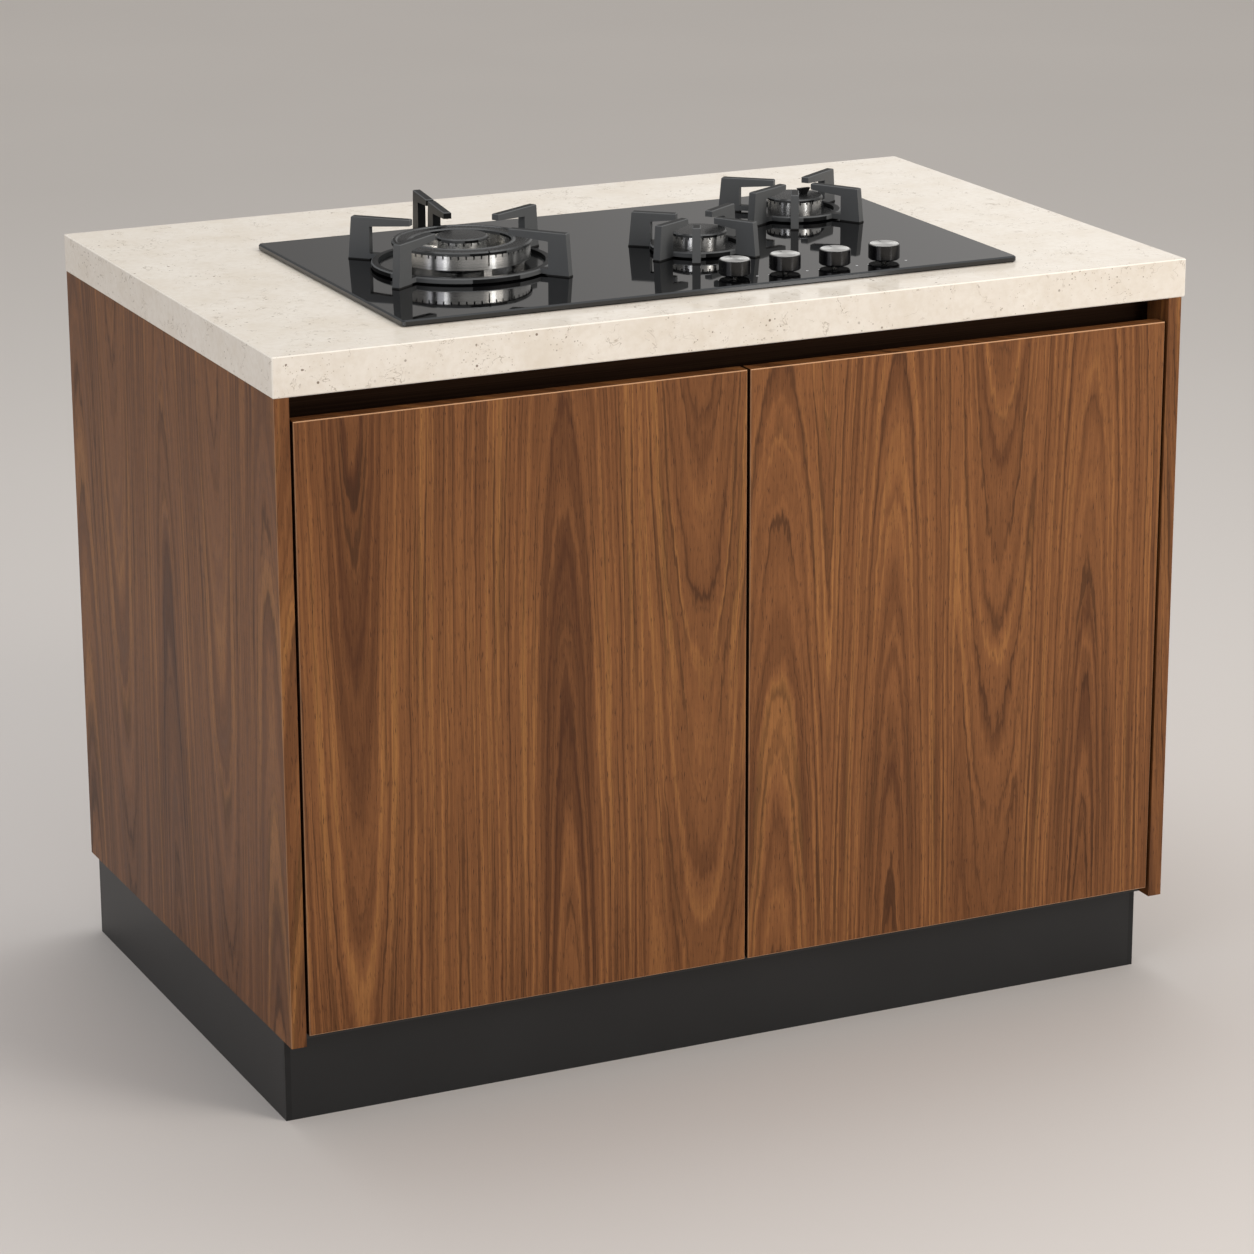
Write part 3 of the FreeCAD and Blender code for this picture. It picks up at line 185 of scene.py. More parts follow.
def walnut(name, hearts, seed, bright=1.0, painted_gap_shade=0.0):
    """Crown-cut walnut veneer under satin lacquer: tall arches of fine dark lines."""
    made, tree, shader, where = material(name, 0.42, IOR=1.5, Specular_IOR_Level=0.2)
    place = where["Object"]
    parts = node(tree, "ShaderNodeSeparateXYZ", (place,), None)
    ring = growth_rings(tree, place, parts, hearts, seed)
    broad = ring_stripes(tree, ring, parts[2], 26, 1100, 1.0, 0, seed)
    bands = ring_stripes(tree, ring, parts[2], 4.2, 700, 2.0, 7, seed)
    lines = ring_stripes(tree, ring, parts[2], 2.1, 420, 1.5, 13, seed)
    tone = node(tree, "ShaderNodeMath", (broad, 0.38), operation="MULTIPLY")
    tone = node(tree, "ShaderNodeMath", (bands, 0.62, tone), operation="MULTIPLY_ADD")
    colour = node(tree, "ShaderNodeValToRGB", {"Fac": tone},
                  stops=((0.32, "522f19"), (0.44, "6d4426"), (0.55, "845531"),
                         (0.70, "a5713f")))
    late = node(tree, "ShaderNodeMapRange", (lines, 0.32, 0.46, 0.52, 1.0))
    fibres = grain(tree, place, (1.4, 1.4, 60), seed + 9)
    fibres = node(tree, "ShaderNodeMapRange", (fibres, 0.25, 0.75, 0.80, 1.14))
    for shade in (late, fibres):
        colour = node(tree, "ShaderNodeMix", {0: 1.0, 6: colour, 7: shade}, 2,
                      data_type="RGBA", blend_type="MULTIPLY")
    # Pores: real ones are 0.1 to 0.2 mm wide, drawn 1 mm so that they show.
    pore = grain(tree, place, (1.0, 1.0, 15), seed)
    pore = node(tree, "ShaderNodeMapRange", (pore, 0.29, 0.40))
    hole = node(tree, "ShaderNodeMath", (1.0, pore), operation="SUBTRACT")
    colour = node(tree, "ShaderNodeMix", {0: hole, 6: colour, 7: linear("3f2415")}, 2,
                  data_type="RGBA")
    # Painted highlight: the eased edges are painted pale, standing in for the lacquer's shine, most
    # on the level ones.
    facing = node(tree, "ShaderNodeSeparateXYZ", (where["Normal"],), None)
    level = node(tree, "ShaderNodeMath", (facing[2],), operation="ABSOLUTE")
    level = node(tree, "ShaderNodeMapRange", (level, 0.3, 0.6, 0.3, 0.8))
    colour = painted_edge_highlight(tree, where, colour, level, "dcae86")
    # Painted shade: the doors' upright ends are painted near black, standing in for the shadow in
    # the gaps between them.
    gap_shade = node(tree, "ShaderNodeMath", (facing[0],), operation="ABSOLUTE")
    gap_shade = node(tree, "ShaderNodeMath", (gap_shade, FLAT_FACE), operation="GREATER_THAN")
    gap_shade = node(tree, "ShaderNodeMath", (gap_shade, painted_gap_shade), operation="MULTIPLY")
    colour = node(tree, "ShaderNodeMix", {0: gap_shade, 6: colour, 7: linear("1d120b")}, 2,
                  data_type="RGBA")
    # Painted light and shade: each board's colour is scaled by its own level, lighter on the right
    # door and darker on the left door and the end panels, for how the light falls on them.
    colour = node(tree, "ShaderNodeMix", {0: 1.0, 6: colour, 7: [bright, bright, bright, 1.0]},
                  2, data_type="RGBA", blend_type="MULTIPLY")
    lay_on(tree, shader, Base_Color=colour,
           Roughness=node(tree, "ShaderNodeMapRange", (lines, 0.3, 0.7, 0.46, 0.38)),
           Normal=node(tree, "ShaderNodeBump",
                       {"Height": pore, "Distance": 0.06 * MM, "Strength": 0.5}))
    return made


def board(name, dark, light, roughness, grit_mm, depth_mm):
    """Pressed or lacquered board: a fine even texture with slightly uneven tone."""
    made, tree, shader, where = material(name, roughness)
    cloud = grain(tree, where["Object"], (120, 120, 120), 0.0, 3.0)
    colour = node(tree, "ShaderNodeValToRGB", {"Fac": cloud}, stops=((0.3, dark), (0.7, light)))
    grit = grain(tree, where["Object"], (grit_mm, grit_mm, grit_mm))
    share = node(tree, "ShaderNodeMapRange", (grit, 0.35, 0.7, 0.0, 0.18))
    colour = node(tree, "ShaderNodeMix", {0: share, 6: colour, 7: linear(light)}, 2,
                  data_type="RGBA")
    lay_on(tree, shader, Base_Color=colour,
           Normal=node(tree, "ShaderNodeBump",
                       {"Height": grit, "Distance": depth_mm * MM, "Strength": 0.4}))
    return made


# --- stone, glass and enamel ---------------------------------------------------------------


# Grit in the stone: (mean distance between grains in mm, share left out, colour, strength).
STONE_GRIT = ((3.6, 0.90, "85725c", 0.8), (6.0, 0.93, "6a5541", 0.85),
              (2.5, 0.86, "a8977f", 0.7))


def stone_grit(tree, place, busy, colour, cell_mm, share, tint, strength):
    """Scattered grains, at most 1.5 to 3.6 mm across by kind, in the stone's busy patches."""
    scale = [1 / (cell_mm * MM)] * 3
    cells = node(tree, "ShaderNodeMapping",
                 {"Vector": place, "Location": (cell_mm, cell_mm, cell_mm), "Scale": scale},
                 vector_type="POINT")
    grains = node(tree, "ShaderNodeTexVoronoi",
                  {"Vector": cells, "Scale": 1.0, "Randomness": 1.0}, None)
    chance = node(tree, "ShaderNodeSeparateColor", (grains["Color"],))
    chosen = node(tree, "ShaderNodeMath", (chance, share), operation="GREATER_THAN")
    dot = node(tree, "ShaderNodeMapRange", (grains["Distance"], 0.20, 0.30, 1.0, 0.0))
    mask = node(tree, "ShaderNodeMath", (dot, chosen), operation="MULTIPLY")
    mask = node(tree, "ShaderNodeMath", (mask, busy), operation="MULTIPLY")
    mask = node(tree, "ShaderNodeMath", (mask, strength), operation="MULTIPLY")
    return node(tree, "ShaderNodeMix", {0: mask, 6: colour, 7: linear(tint)}, 2,
                data_type="RGBA")


def engineered_stone():
    """Polished quartz agglomerate: cream resin with sparse brown grit and hair cracks."""
    made, tree, shader, where = material("engineered_stone_polished_cream", 0.16, IOR=1.53)
    place = where["Object"]
    cloud = grain(tree, place, (70, 70, 70), 0.0, 4.0, 0.65)
    colour = node(tree, "ShaderNodeValToRGB", {"Fac": cloud},
                  stops=((0.3, "e4dbcd"), (0.5, "ebe4d9"), (0.7, "f0eae0")))
    mottle = grain(tree, place, (7, 7, 7), 6)
    mottle = node(tree, "ShaderNodeMapRange", (mottle, 0.4, 0.8, 0.0, 0.4))
    colour = node(tree, "ShaderNodeMix", {0: mottle, 6: colour, 7: linear("dacfbe")}, 2,
                  data_type="RGBA")
    patches = grain(tree, place, (48, 48, 48), 4, 3.0)
    busy = node(tree, "ShaderNodeMapRange", (patches, 0.50, 0.60))
    for grit in STONE_GRIT:
        colour = stone_grit(tree, place, busy, colour, *grit)
    # Hair cracks run where the unevenness crosses its middle value, in a few places only.
    crack = grain(tree, place, (22, 22, 22), 9, 3.0, 0.6, 0.9)
    crack = node(tree, "ShaderNodeMath", (crack, 0.5), operation="SUBTRACT")
    crack = node(tree, "ShaderNodeMath", (crack,), operation="ABSOLUTE")
    thin = node(tree, "ShaderNodeMapRange", (crack, 0.0, 0.016, 1.0, 0.0))
    few = grain(tree, place, (26, 26, 26), 2, 1.0)
    few = node(tree, "ShaderNodeMapRange", (few, 0.56, 0.64))
    wisp = node(tree, "ShaderNodeMath", (thin, few), operation="MULTIPLY")
    wisp = node(tree, "ShaderNodeMath", (wisp, 0.6), operation="MULTIPLY")
    colour = node(tree, "ShaderNodeMix", {0: wisp, 6: colour, 7: linear("8f7d66")}, 2,
                  data_type="RGBA")
    # Painted highlight: the eased edges are drawn towards near white.
    lay_on(tree, shader, Base_Color=painted_edge_highlight(tree, where, colour, 0.65, "fffaf0"),
           Roughness=node(tree, "ShaderNodeMapRange", (cloud, 0.3, 0.7, 0.17, 0.11)))
    return made


def black_glass():
    """Tempered glass, black underneath: a mirror-like face and a ground grey bevel."""
    made, tree, shader, where = material("tempered_glass_black_polished", 0.03, IOR=1.6)
    smear = grain(tree, where["Object"], (140, 60, 140), 0.0, 4.0)
    smear = node(tree, "ShaderNodeMapRange", (smear, 0.3, 0.8, 0.02, 0.055))
    edge = arris(tree, where)
    colour = node(tree, "ShaderNodeMix", {0: edge, 6: linear("060607"), 7: linear("34373a")}, 2,
                  data_type="RGBA")
    ground = node(tree, "ShaderNodeMath", (edge, 0.16), operation="MULTIPLY")
    lay_on(tree, shader, Base_Color=colour,
           Roughness=node(tree, "ShaderNodeMath", (smear, ground), operation="ADD"))
    return made


def coated(name, colour_low, colour_high, roughness, grit_mm, depth_mm, edge_highlight=0.0, shine=0.4):
    """Enamel, cast iron or moulded plastic: a skin of a given grit, with a painted highlight on its
    eased edges.
    """
    made, tree, shader, where = material(name, roughness, Specular_IOR_Level=shine)
    place = where["Object"]
    grit = grain(tree, place, (grit_mm, grit_mm, grit_mm), 0.0, 3.0, 0.6)
    cloud = grain(tree, place, (22, 22, 22))
    colour = node(tree, "ShaderNodeValToRGB", {"Fac": cloud},
                  stops=((0.3, colour_low), (0.7, colour_high)))
    rough = (grit, 0.3, 0.7, roughness - 0.05, roughness + 0.06)
    # Painted highlight: the eased edges are drawn towards pale grey.
    lay_on(tree, shader, Base_Color=painted_edge_highlight(tree, where, colour, edge_highlight, "8d9092"),
           Roughness=node(tree, "ShaderNodeMapRange", rough),
           Normal=node(tree, "ShaderNodeBump",
                       {"Height": grit, "Distance": depth_mm * MM, "Strength": 0.6}))
    return made


# --- metal ---------------------------------------------------------------------------------


def plated(name, low, high, roughness, x_mm, y_mm, z_mm):
    """Rolled, drawn or plated metal: fine lines of the given length along each axis."""
    made, tree, shader, where = material(name, roughness, 1.0)
    lines = grain(tree, where["Object"], (x_mm, y_mm, z_mm), 0.0, 3.0)
    rough = (lines, 0.3, 0.7, roughness - 0.06, roughness + 0.08)
    lay_on(tree, shader,
           Base_Color=node(tree, "ShaderNodeValToRGB", {"Fac": lines},
                           stops=((0.3, low), (0.7, high))),
           Roughness=node(tree, "ShaderNodeMapRange", rough),
           Normal=node(tree, "ShaderNodeBump",
                       {"Height": lines, "Distance": 0.01 * MM, "Strength": 0.3}))
    return made


def from_axis(tree, where, centre):
    """The place on a round piece, counted from its own upright axis."""
    spot = node(tree, "ShaderNodeMapping",
                {"Vector": where["Object"], "Location": (-centre[0], -centre[1], 0)})
    return node(tree, "ShaderNodeSeparateXYZ", (spot,), None)


def turned_finish(tree, shader, strokes, detail, low, high, depth_mm, strength):
    """Strokes of a tool in two tones, with highlights that follow the round piece."""
    stroke = node(tree, "ShaderNodeTexNoise",
                  {"Vector": strokes, "Scale": 1.0, "Detail": detail, "Roughness": 0.5,
                   "Distortion": 0.0})
    lay_on(tree, shader,
           Base_Color=node(tree, "ShaderNodeValToRGB", {"Fac": stroke},
                           stops=((0.3, low), (0.7, high))),
           Tangent=node(tree, "ShaderNodeTangent", direction_type="RADIAL", axis="Z"),
           Normal=node(tree, "ShaderNodeBump",
                       {"Height": stroke, "Distance": depth_mm * MM, "Strength": strength}))


def lathe_turned(name, low, high, roughness, centre, groove_mm, metallic=1.0, even=0.8):
    """Lathe-turned stock: fine rings round an upright axis stretch highlights upwards."""
    made, tree, shader, where = material(name, roughness, metallic, Anisotropic=even,
                                         Anisotropic_Rotation=0.25)
    parts = from_axis(tree, where, centre)
    flat = node(tree, "ShaderNodeCombineXYZ", (parts[0], parts[1]))
    radius = node(tree, "ShaderNodeVectorMath", (flat,), "Value", operation="LENGTH")
    rings = node(tree, "ShaderNodeMath", (radius, groove_mm * MM), operation="DIVIDE")
    climb = node(tree, "ShaderNodeMath", (parts[2], groove_mm * MM), operation="DIVIDE")
    strokes = node(tree, "ShaderNodeCombineXYZ", (rings, climb))
    turned_finish(tree, shader, strokes, 2.0, low, high, 0.004, 0.3)
    return made


def sunburst(name, centre):
    """Knob tops: aluminium brushed outwards from the middle, which throws bright wedges."""
    made, tree, shader, where = material(name, 0.3, 1.0, Anisotropic=0.8)
    parts = from_axis(tree, where, centre)
    turn = node(tree, "ShaderNodeMath", (parts[1], parts[0]), operation="ARCTAN2")
    # Brush lines are 0.05 mm wide; drawn about 0.4 mm at the rim so that they show.
    turn = node(tree, "ShaderNodeMath", (turn, 45.0), operation="MULTIPLY")
    strokes = node(tree, "ShaderNodeCombineXYZ", (turn,))
    turned_finish(tree, shader, strokes, 3.0, "cfcfcd", "f2f2f0", 0.01, 0.4)
    return made


# --- every node gets its finish --------------------------------------------------------------


def middle_of(name):
    low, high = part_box(name)
    return (low + high) / 2


def dress(finish, *names):
    """Give CAD nodes one finish."""
    for name in names:
        mesh = NODES[name].data
        mesh.materials.clear()
        mesh.materials.append(finish)


def dress_cabinet():
    # The fourth number scales each board's colour as painted light and shade. The fifth sets the
    # painted shade on the doors' upright ends.
    dress(walnut("walnut_veneer_left_door", LEFT_DOOR_HEARTS, 1.0, 0.95, 0.9), "door_left")
    dress(walnut("walnut_veneer_right_door", RIGHT_DOOR_HEARTS, 5.0, 1.03, 0.9), "door_right")
    dress(walnut("walnut_veneer_end_panels", END_PANEL_HEARTS, 9.0, 0.88),
          "end_panel_left", "end_panel_right")
    dress(walnut("walnut_veneer_back", BACK_HEARTS, 12.0), "back_panel")
    dress(board("lacquered_board_satin_black", "121314", "18191a", 0.42, 1.5, 0.02),
          "plinth_front", "plinth_back", "plinth_sides")
    dress(coated("abs_profile_satin_black", "0f1011", "161718", 0.4, 0.8, 0.02),
          "plinth_corner_trims")
    dress(board("melamine_board_anthracite", "2b2a2a", "343332", 0.55, 0.9, 0.04),
          "carcass_side_left", "carcass_side_right", "carcass_bottom", "centre_divider",
          "back_board", "rear_rails", "shelves")
    dress(coated("polypropylene_moulded_black", "17171a", "202023", 0.5, 1.2, 0.03),
          "leg_sockets", "leg_feet", "plinth_clips", "ignition_box")
    dress(plated("aluminium_anodised_dark_bronze", "2a1d15", "3b2a1f", 0.42, 300, 0.8, 0.8),
          "handle_channel_left", "handle_channel_right")
    dress(plated("steel_nickel_plated", "a8a6a1", "cfcdc8", 0.26, 8, 8, 8),
          "hinge_arms", "hinge_cups_left", "hinge_cups_right", "shelf_pins", "hob_clamps",
          "spindle_1", "spindle_2", "spindle_3", "spindle_4")


def dress_hob():
    dress(engineered_stone(), "worktop")
    dress(black_glass(), "hob_glass")
    dress(coated("foam_seal_black", "0d0d0d", "161616", 0.85, 0.6, 0.08), "hob_seal")
    dress(plated("steel_galvanised_pressed", "7d8082", "a3a6a7", 0.38, 18, 18, 18),
          "burner_tray", "gas_manifold")
    dress(plated("brass_turned", "9c7a3c", "c9a45c", 0.3, 0.6, 0.6, 0.6),
          "gas_valves", "gas_inlet")
    enamel = coated("enamel_semi_matt_black", "0b0c0d", "121314", 0.27, 2.2, 0.02, 0.25, 0.15)
    dress(enamel, "middle_burner_base", "rear_burner_base", "wok_ring_cap", "wok_centre_cap",
          "middle_burner_cap", "rear_burner_cap")
    dress(coated("enamel_gloss_black", "0c0d0e", "141516", 0.14, 3.0, 0.01, 0.2, 0.25),
          "wok_burner_base")
    for tag in ("wok", "middle", "rear"):
        head = tag + "_burner_head"
        dress(lathe_turned("aluminium_lathe_turned_" + tag, "c4c4c2", "e6e6e4", 0.27,
                           middle_of(head), 0.6), head)
    dress(coated("cast_iron_enamelled_matt_black", "0e0f10", "161718", 0.42, 1.0, 0.05,
                 0.4, 0.15), "wok_support", "middle_support", "rear_support")
    dress(coated("glazed_alumina_ceramic", "d9d4c8", "ece8de", 0.2, 1.5, 0.01), "spark_plugs")
    for number in "1234":
        barrel = "knob_" + number
        dress(lathe_turned("knob_gloss_black_" + number, "09090b", "0f0f11", 0.22,
                           middle_of(barrel), 1.2, 0.0, 0.7), barrel)
        disc = "knob_disc_" + number
        dress(sunburst("aluminium_brushed_disc_" + number, middle_of(disc)), disc)


# --- small fittings --------------------------------------------------------------------------


def shapes_tree(name, shape):
    """A tree that sets one shape on every point, turned by the point's own angles."""
    tree = bpy.data.node_groups.new(name, "GeometryNodeTree")
    face = tree.interface
    face.new_socket("Points", in_out="INPUT", socket_type="NodeSocketGeometry")
    for size in ("Length", "Width", "Height"):
        face.new_socket(size, in_out="INPUT", socket_type="NodeSocketFloat")
    face.new_socket("Finish", in_out="INPUT", socket_type="NodeSocketMaterial")
    face.new_socket("Fittings", in_out="OUTPUT", socket_type="NodeSocketGeometry")
    given = node(tree, "NodeGroupInput", out=None)
    made = shape(tree, given["Length"], given["Width"], given["Height"])
    angles = node(tree, "GeometryNodeInputNamedAttribute", {"Name": "facing"},
                  data_type="FLOAT_VECTOR")
    turn = node(tree, "FunctionNodeEulerToRotation", (angles,))
    placed = node(tree, "GeometryNodeInstanceOnPoints",
                  {"Points": given["Points"], "Instance": made, "Rotation": turn})
    solid = node(tree, "GeometryNodeRealizeInstances", (placed,))
    coat = node(tree, "GeometryNodeSetMaterial",
                {"Geometry": solid, "Material": given["Finish"]})
    node(tree, "NodeGroupOutput", {"Fittings": coat})
    return tree


def button(tree, foot, top, height):
    """A round head that narrows from its foot to its top."""
    return node(tree, "GeometryNodeMeshCone",
                {"Vertices": 20, "Radius Bottom": foot, "Radius Top": top, "Depth": height})


def bar(tree, length, width, height):
    """A plain bar that stands on its point."""
    size = node(tree, "ShaderNodeCombineXYZ", (length, width, height))
    made = node(tree, "GeometryNodeMeshCube", {"Size": size})
    middle = node(tree, "ShaderNodeMath", (height, 0.5), operation="MULTIPLY")
    lift = node(tree, "ShaderNodeCombineXYZ", {2: middle})
    return node(tree, "GeometryNodeTransform", {"Geometry": made, "Translation": lift})


def crossed_button(tree, foot, top, height):
    """A screw head: a button with a cross sunk half way into it."""
    made = button(tree, foot, top, height)
    for length, width in ((1.3, 0.34), (0.34, 1.3)):
        long_side = node(tree, "ShaderNodeMath", (top, length), operation="MULTIPLY")
        short_side = node(tree, "ShaderNodeMath", (top, width), operation="MULTIPLY")
        size = node(tree, "ShaderNodeCombineXYZ", (long_side, short_side, height))
        cutter = node(tree, "GeometryNodeMeshCube", {"Size": size})
        lift = node(tree, "ShaderNodeCombineXYZ", {2: height})
        cutter = node(tree, "GeometryNodeTransform", {"Geometry": cutter, "Translation": lift})
        made = node(tree, "GeometryNodeMeshBoolean", {"Mesh 1": made, "Mesh 2": cutter},
                    operation="DIFFERENCE")
    return made


def add_fittings(name, tree, body, finish, sizes_mm, places):
    """One piece made of a tree's shapes at ((x, y, z) in mm, turning angles) places."""
    mesh = bpy.data.meshes.new(name)
    mesh.from_pydata([Vector(spot) * MM for spot, turn in places], [], [])
    facing = mesh.attributes.new("facing", "FLOAT_VECTOR", "POINT")
    for entry, (spot, turn) in zip(facing.data, places):
        entry.vector = turn
    points = bpy.data.objects.new(name + "_points", mesh)
    bpy.context.scene.collection.objects.link(points)
    modifier = points.modifiers.new("shapes", "NODES")
    modifier.node_group = tree
    values = dict(zip(("Length", "Width", "Height"), (size * MM for size in sizes_mm)))
    values["Finish"] = finish
    for item in tree.interface.items_tree:
        if item.name in values:
            modifier[item.identifier] = values[item.name]
    seen = points.evaluated_get(bpy.context.evaluated_depsgraph_get())
    plain = bpy.data.meshes.new_from_object(seen)
    bpy.data.objects.remove(points)
    thing = bpy.data.objects.new(name, plain)
    bpy.context.scene.collection.objects.link(thing)
    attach(thing, body)


QUARTER = math.pi / 2
BACKWARDS, RIGHTWARDS, LEFTWARDS, DOWNWARDS, UPWARDS = (
    (-QUARTER, 0, 0), (0, QUARTER, 0), (0, -QUARTER, 0), (math.pi, 0, 0), (0, 0, 0))
HINGE_LEVELS = (212, 696)
# Inner faces of the carcass sides, and the top of the hob's glass, in mm.
LEFT_WALL, RIGHT_WALL, GLASS_TOP = -540, 537, 907.5
# Directions of the five fingers on the middle and rear supports, in degrees from the right.
SMALL_FINGERS = (-117, -59, 34, 139, -151)


def add_hinge_screws(screws, finish):
    """Two screws on each cup's flange, two on each mounting plate, two on each arm."""
    for side, cup_x, wall, way, turn in (("left", -529.5, LEFT_WALL, 1, RIGHTWARDS),
                                         ("right", 526.5, RIGHT_WALL, -1, LEFTWARDS)):
        cup = [((cup_x, -337.8, level + rise), BACKWARDS)
               for level in HINGE_LEVELS for rise in (-24, 24)]
        add_fittings("cup_screws_" + side, screws, "door_" + side, finish,
                     (3.6, 2.9, 1.5), cup)
        plate = [((wall + 3 * way, -300.6, level + rise), turn)
                 for level in HINGE_LEVELS for rise in (-17, 17)]
        add_fittings("plate_screws_" + side, screws, "cabinet", finish,
                     (4.2, 3.2, 1.8), plate)
        arm = [((wall + 18 * way, y, level), turn) for level in HINGE_LEVELS
               for y in (-314, -288)]
        add_fittings("arm_screws_" + side, screws, "cabinet", finish,
                     (3.4, 2.8, 1.0), arm)


def add_carcass_fittings(screws, buttons, finish, rubber):
    """Screws that hold the end panels, rails and hob clamps, and soft stops on the doors."""
    panel = [((x, y, z), turn)
             for x, turn in ((LEFT_WALL, RIGHTWARDS), (RIGHT_WALL, LEFTWARDS))
             for y in (-250, 20, 230) for z in (160, 640)]
    add_fittings("panel_screws", screws, "cabinet", finish, (4.5, 3.6, 1.6),
                 panel)
    rail = [((x, 283, 838), DOWNWARDS) for x in (-480, -280, -80, 80, 280, 480)]
    add_fittings("rail_screws", screws, "cabinet", finish, (4.5, 3.6, 1.8),
                 rail)
    clamp = [((x, y, 852.5), DOWNWARDS) for x in (-387, 379) for y in (-189, 71)]
    add_fittings("clamp_screws", screws, "cabinet", finish, (4.2, 3.2, 1.8),
                 clamp)
    for side, x in (("left", -6.6), ("right", 3.6)):
        stops = [((x, -339, z), BACKWARDS) for z in (130, 780)]
        add_fittings("door_stops_" + side, buttons, "door_" + side, rubber,
                     (2.7, 2.0, 1.8), stops)


def add_support_feet(bars, rubber):
    """A rubber sole round the foot of each finger, so that the iron spares the glass."""
    foot, overlap = 27.0, 0.3
    for tag, fingers in (("wok", ((82, 214), (135, 142), (29, 142), (215, 142), (-51, 142))),
                         ("middle", tuple((angle, 84) for angle in SMALL_FINGERS)),
                         ("rear", tuple((angle, 96) for angle in SMALL_FINGERS))):
        centre = middle_of(tag + "_burner_head") / MM
        soles = []
        for angle, reach in fingers:
            turn = math.radians(angle)
            away = reach - foot / 2
            soles.append(((centre[0] + away * math.cos(turn),
                           centre[1] + away * math.sin(turn), GLASS_TOP), (0, 0, turn)))
        add_fittings(tag + "_support_soles", bars, tag + "_support", rubber,
                     (foot + 2 * overlap, 9.5 + 2 * overlap, 1.6), soles)


def add_knob_marks(bars, buttons, print_white, ink):
    """A pointer line on each knob's disc, and large and small flame dots on the glass."""
    for number in "1234":
        low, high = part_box("knob_disc_" + number)
        x, y, top = (low[0] + high[0]) / 2 / MM, (low[1] + high[1]) / 2 / MM, high[2] / MM
        add_fittings("pointer_" + number, bars, "knob_" + number, ink,
                     (0.9, 6.5, 0.08), [((x, y + 12, top), UPWARDS)])
        for mark, across, radius in (("low", -25, 0.9), ("high", 25, 1.6)):
            add_fittings("mark_%s_%s" % (mark, number), buttons, "cabinet",
                         print_white, (radius, radius, 0.05),
                         [((x + across, y - 8, GLASS_TOP), UPWARDS)])


def add_small_fittings():
    screws = shapes_tree("screw_rows", crossed_button)
    buttons = shapes_tree("button_rows", button)
    bars = shapes_tree("bar_rows", bar)
    steel = plated("screw_steel_nickel_plated", "9c9a96", "c6c4bf", 0.3, 2, 2, 2)
    rubber = coated("rubber_moulded_black", "141414", "1d1d1d", 0.7, 0.7, 0.03)
    white = coated("screen_print_pale_grey", "b9bbbc", "c9cbcc", 0.4, 0.6, 0.002)
    ink = coated("engraved_line_black", "101010", "1a1a1a", 0.5, 0.5, 0.002)
    add_hinge_screws(screws, steel)
    add_carcass_fittings(screws, buttons, steel, rubber)
    add_support_feet(bars, rubber)
    add_knob_marks(bars, buttons, white, ink)


# --- studio --------------------------------------------------------------------------------


def floor():
    """A large pale floor. It fills the whole background at the photograph's angle."""
    reach = 60.0
    mesh = bpy.data.meshes.new("floor")
    mesh.from_pydata([(-reach, -reach, 0), (reach, -reach, 0), (reach, reach, 0),
                      (-reach, reach, 0)], [], [(0, 1, 2, 3)])
    thing = bpy.data.objects.new("floor", mesh)
    bpy.context.scene.collection.objects.link(thing)
    made, tree, shader, where = material("studio_floor_warm_grey", 0.75,
                                         Specular_IOR_Level=0.1)
    away = node(tree, "ShaderNodeVectorMath", (where["Object"],), "Value", operation="LENGTH")
    # Painted light and shade: the floor is painted darker near the object and paler away from it,
    # standing in for light that falls unevenly on it.
    painted_floor_light = node(tree, "ShaderNodeMapRange", (away, 0.9, 7.0))
    colour = node(tree, "ShaderNodeValToRGB", {"Fac": painted_floor_light},
                  stops=((0.0, "cfcbc8"), (0.5, "dcd8d4"), (1.0, "e6e1dc")))
    cloud = grain(tree, where["Object"], (900, 900, 900))
    cloud = node(tree, "ShaderNodeMapRange", (cloud, 0.2, 0.8, 0.0, 0.15))
    colour = node(tree, "ShaderNodeMix", {0: cloud, 6: colour, 7: linear("cdc8c4")}, 2,
                  data_type="RGBA")
    lay_on(tree, shader, Base_Color=colour)
    mesh.materials.append(made)


def softbox(name, place, target, width, height, watts, colour):
    lamp = bpy.data.lights.new(name, "AREA")
    lamp.shape = "RECTANGLE"
    lamp.size = width
    lamp.size_y = height
    lamp.energy = watts
    lamp.color = linear(colour)[:3]
    thing = bpy.data.objects.new(name, lamp)
    thing.location = place
    aim = Vector(target) - Vector(place)
    thing.rotation_euler = aim.to_track_quat("-Z", "Y").to_euler()
    bpy.context.scene.collection.objects.link(thing)


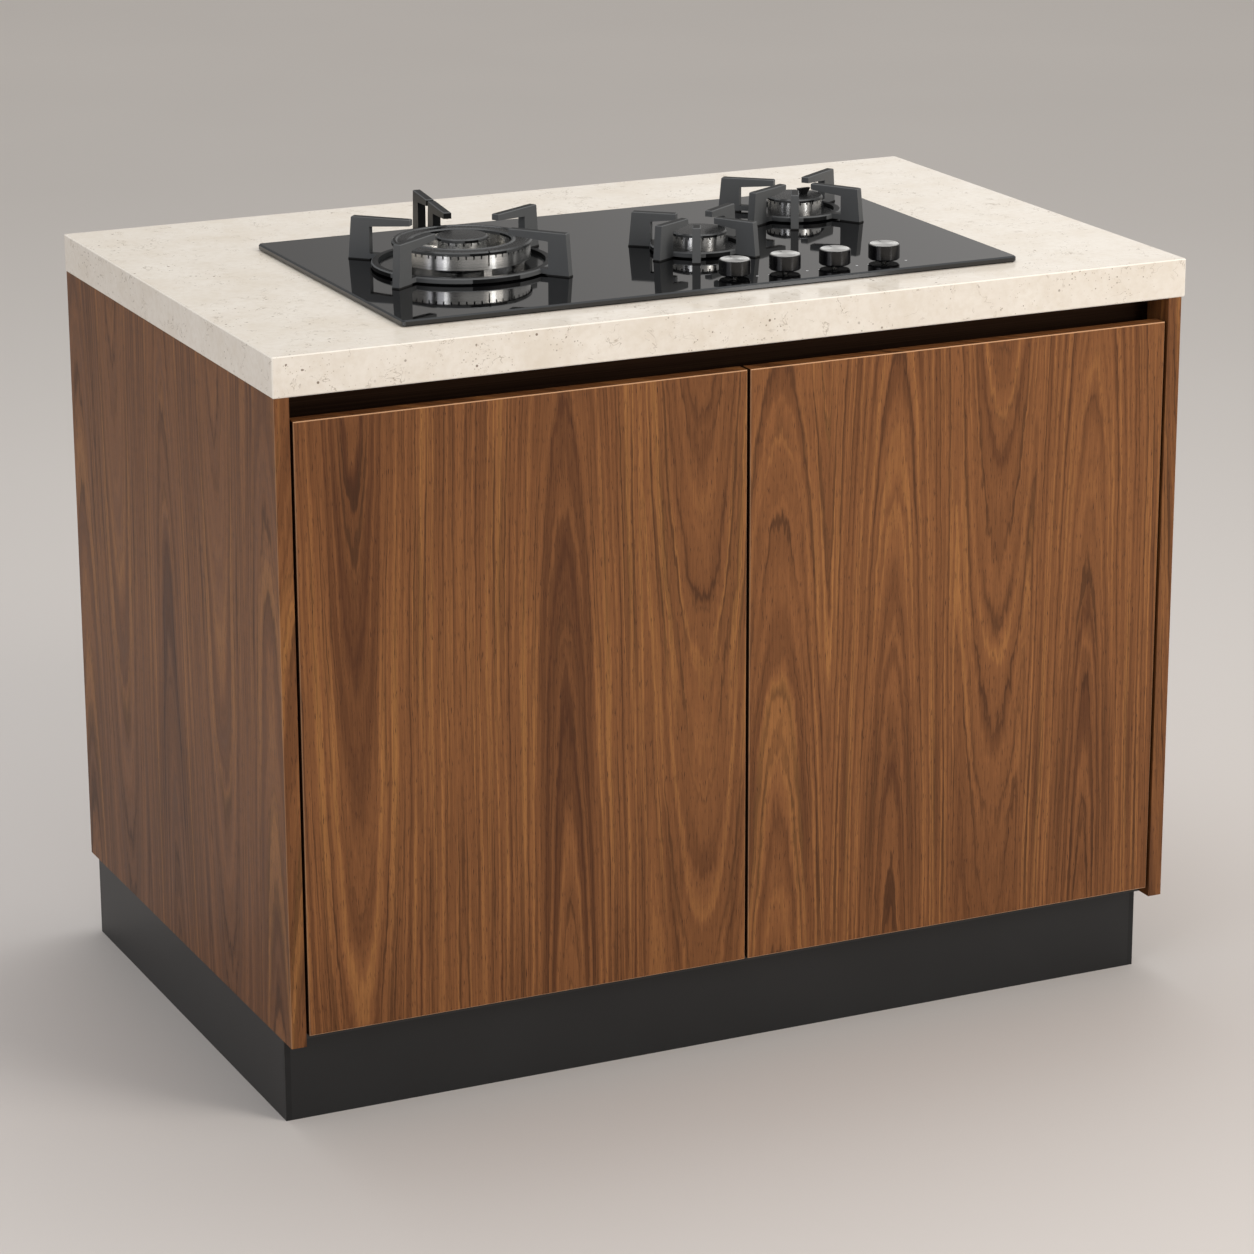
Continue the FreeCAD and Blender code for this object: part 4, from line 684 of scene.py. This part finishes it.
def studio():
    floor()
    softbox("key_front_right", (2.2, -3.4, 3.1), (0, 0, 0.5), 2.2, 1.8, 88, "fff6ec")
    softbox("fill_left", (-3.6, -1.6, 1.8), (0, 0, 0.5), 2.4, 2.0, 20, "f4f5ff")
    softbox("top", (0.3, 0.9, 3.6), (0, 0, 0.9), 2.6, 1.8, 52, "ffffff")
    # Two narrow strips draw the upright lights on the turned burners and knobs.
    softbox("strip_right", (1.5, -3.0, 1.7), (0, 0, 0.9), 0.3, 1.4, 9, "ffffff")
    softbox("strip_left", (-2.9, -2.3, 1.7), (0, 0, 0.9), 0.25, 1.4, 6, "ffffff")
    world = bpy.data.worlds.new("studio_air")
    bpy.context.scene.world = world
    world.use_nodes = True
    tree = world.node_tree
    tree.nodes.clear()
    # Polished faces mirror a wall that is dark on the left and pale on the right.
    sky = node(tree, "ShaderNodeTexCoord", out="Generated")
    across = node(tree, "ShaderNodeVectorMath", (sky, (0.906, -0.423, 0.0)), "Value",
                  operation="DOT_PRODUCT")
    mirrored = node(tree, "ShaderNodeMapRange", (across, -0.14, 0.1, 0.22, 0.62))
    path = node(tree, "ShaderNodeLightPath", out=None)
    seen = node(tree, "ShaderNodeMath", (path["Is Camera Ray"], path["Is Transmission Ray"]),
                operation="MAXIMUM")
    # How strong the air is as a light on the object, and as the background that is seen.
    as_light, as_seen = [0.55, 0.55, 0.55, 1.0], [0.66, 0.66, 0.66, 1.0]
    strength = node(tree, "ShaderNodeMix",
                    {0: path["Is Glossy Ray"], 6: as_light, 7: mirrored}, 2, data_type="RGBA")
    strength = node(tree, "ShaderNodeMix", {0: seen, 6: strength, 7: as_seen}, 2,
                    data_type="RGBA")
    air = node(tree, "ShaderNodeBackground", {"Color": linear("fbf8f5"), "Strength": strength})
    node(tree, "ShaderNodeOutputWorld", {"Surface": air})


def camera():
    """The photograph's view: a long lens from the front left, a little above."""
    photo_pixels = 1254
    focal_pixels = 4246
    lens = bpy.data.cameras.new("photo_camera")
    lens.sensor_width = 36
    lens.lens = lens.sensor_width * focal_pixels / photo_pixels
    thing = bpy.data.objects.new("photo_camera", lens)
    bpy.context.scene.collection.objects.link(thing)
    yaw, pitch, roll = math.radians(25.0), math.radians(17.07), math.radians(0.22)
    ahead = Vector((math.sin(yaw) * math.cos(pitch), math.cos(yaw) * math.cos(pitch),
                    -math.sin(pitch)))
    turn = ahead.to_track_quat("-Z", "Y").to_matrix().to_4x4()
    thing.matrix_world = turn
    thing.rotation_euler.rotate_axis("Z", -roll)
    thing.location = (-2.104, -4.538, 1.958)
    lens.clip_start, lens.clip_end = 0.1, 200
    bpy.context.scene.camera = thing


dress_cabinet()
dress_hob()
add_small_fittings()
studio()
camera()
bpy.context.scene.view_settings.view_transform = "Standard"
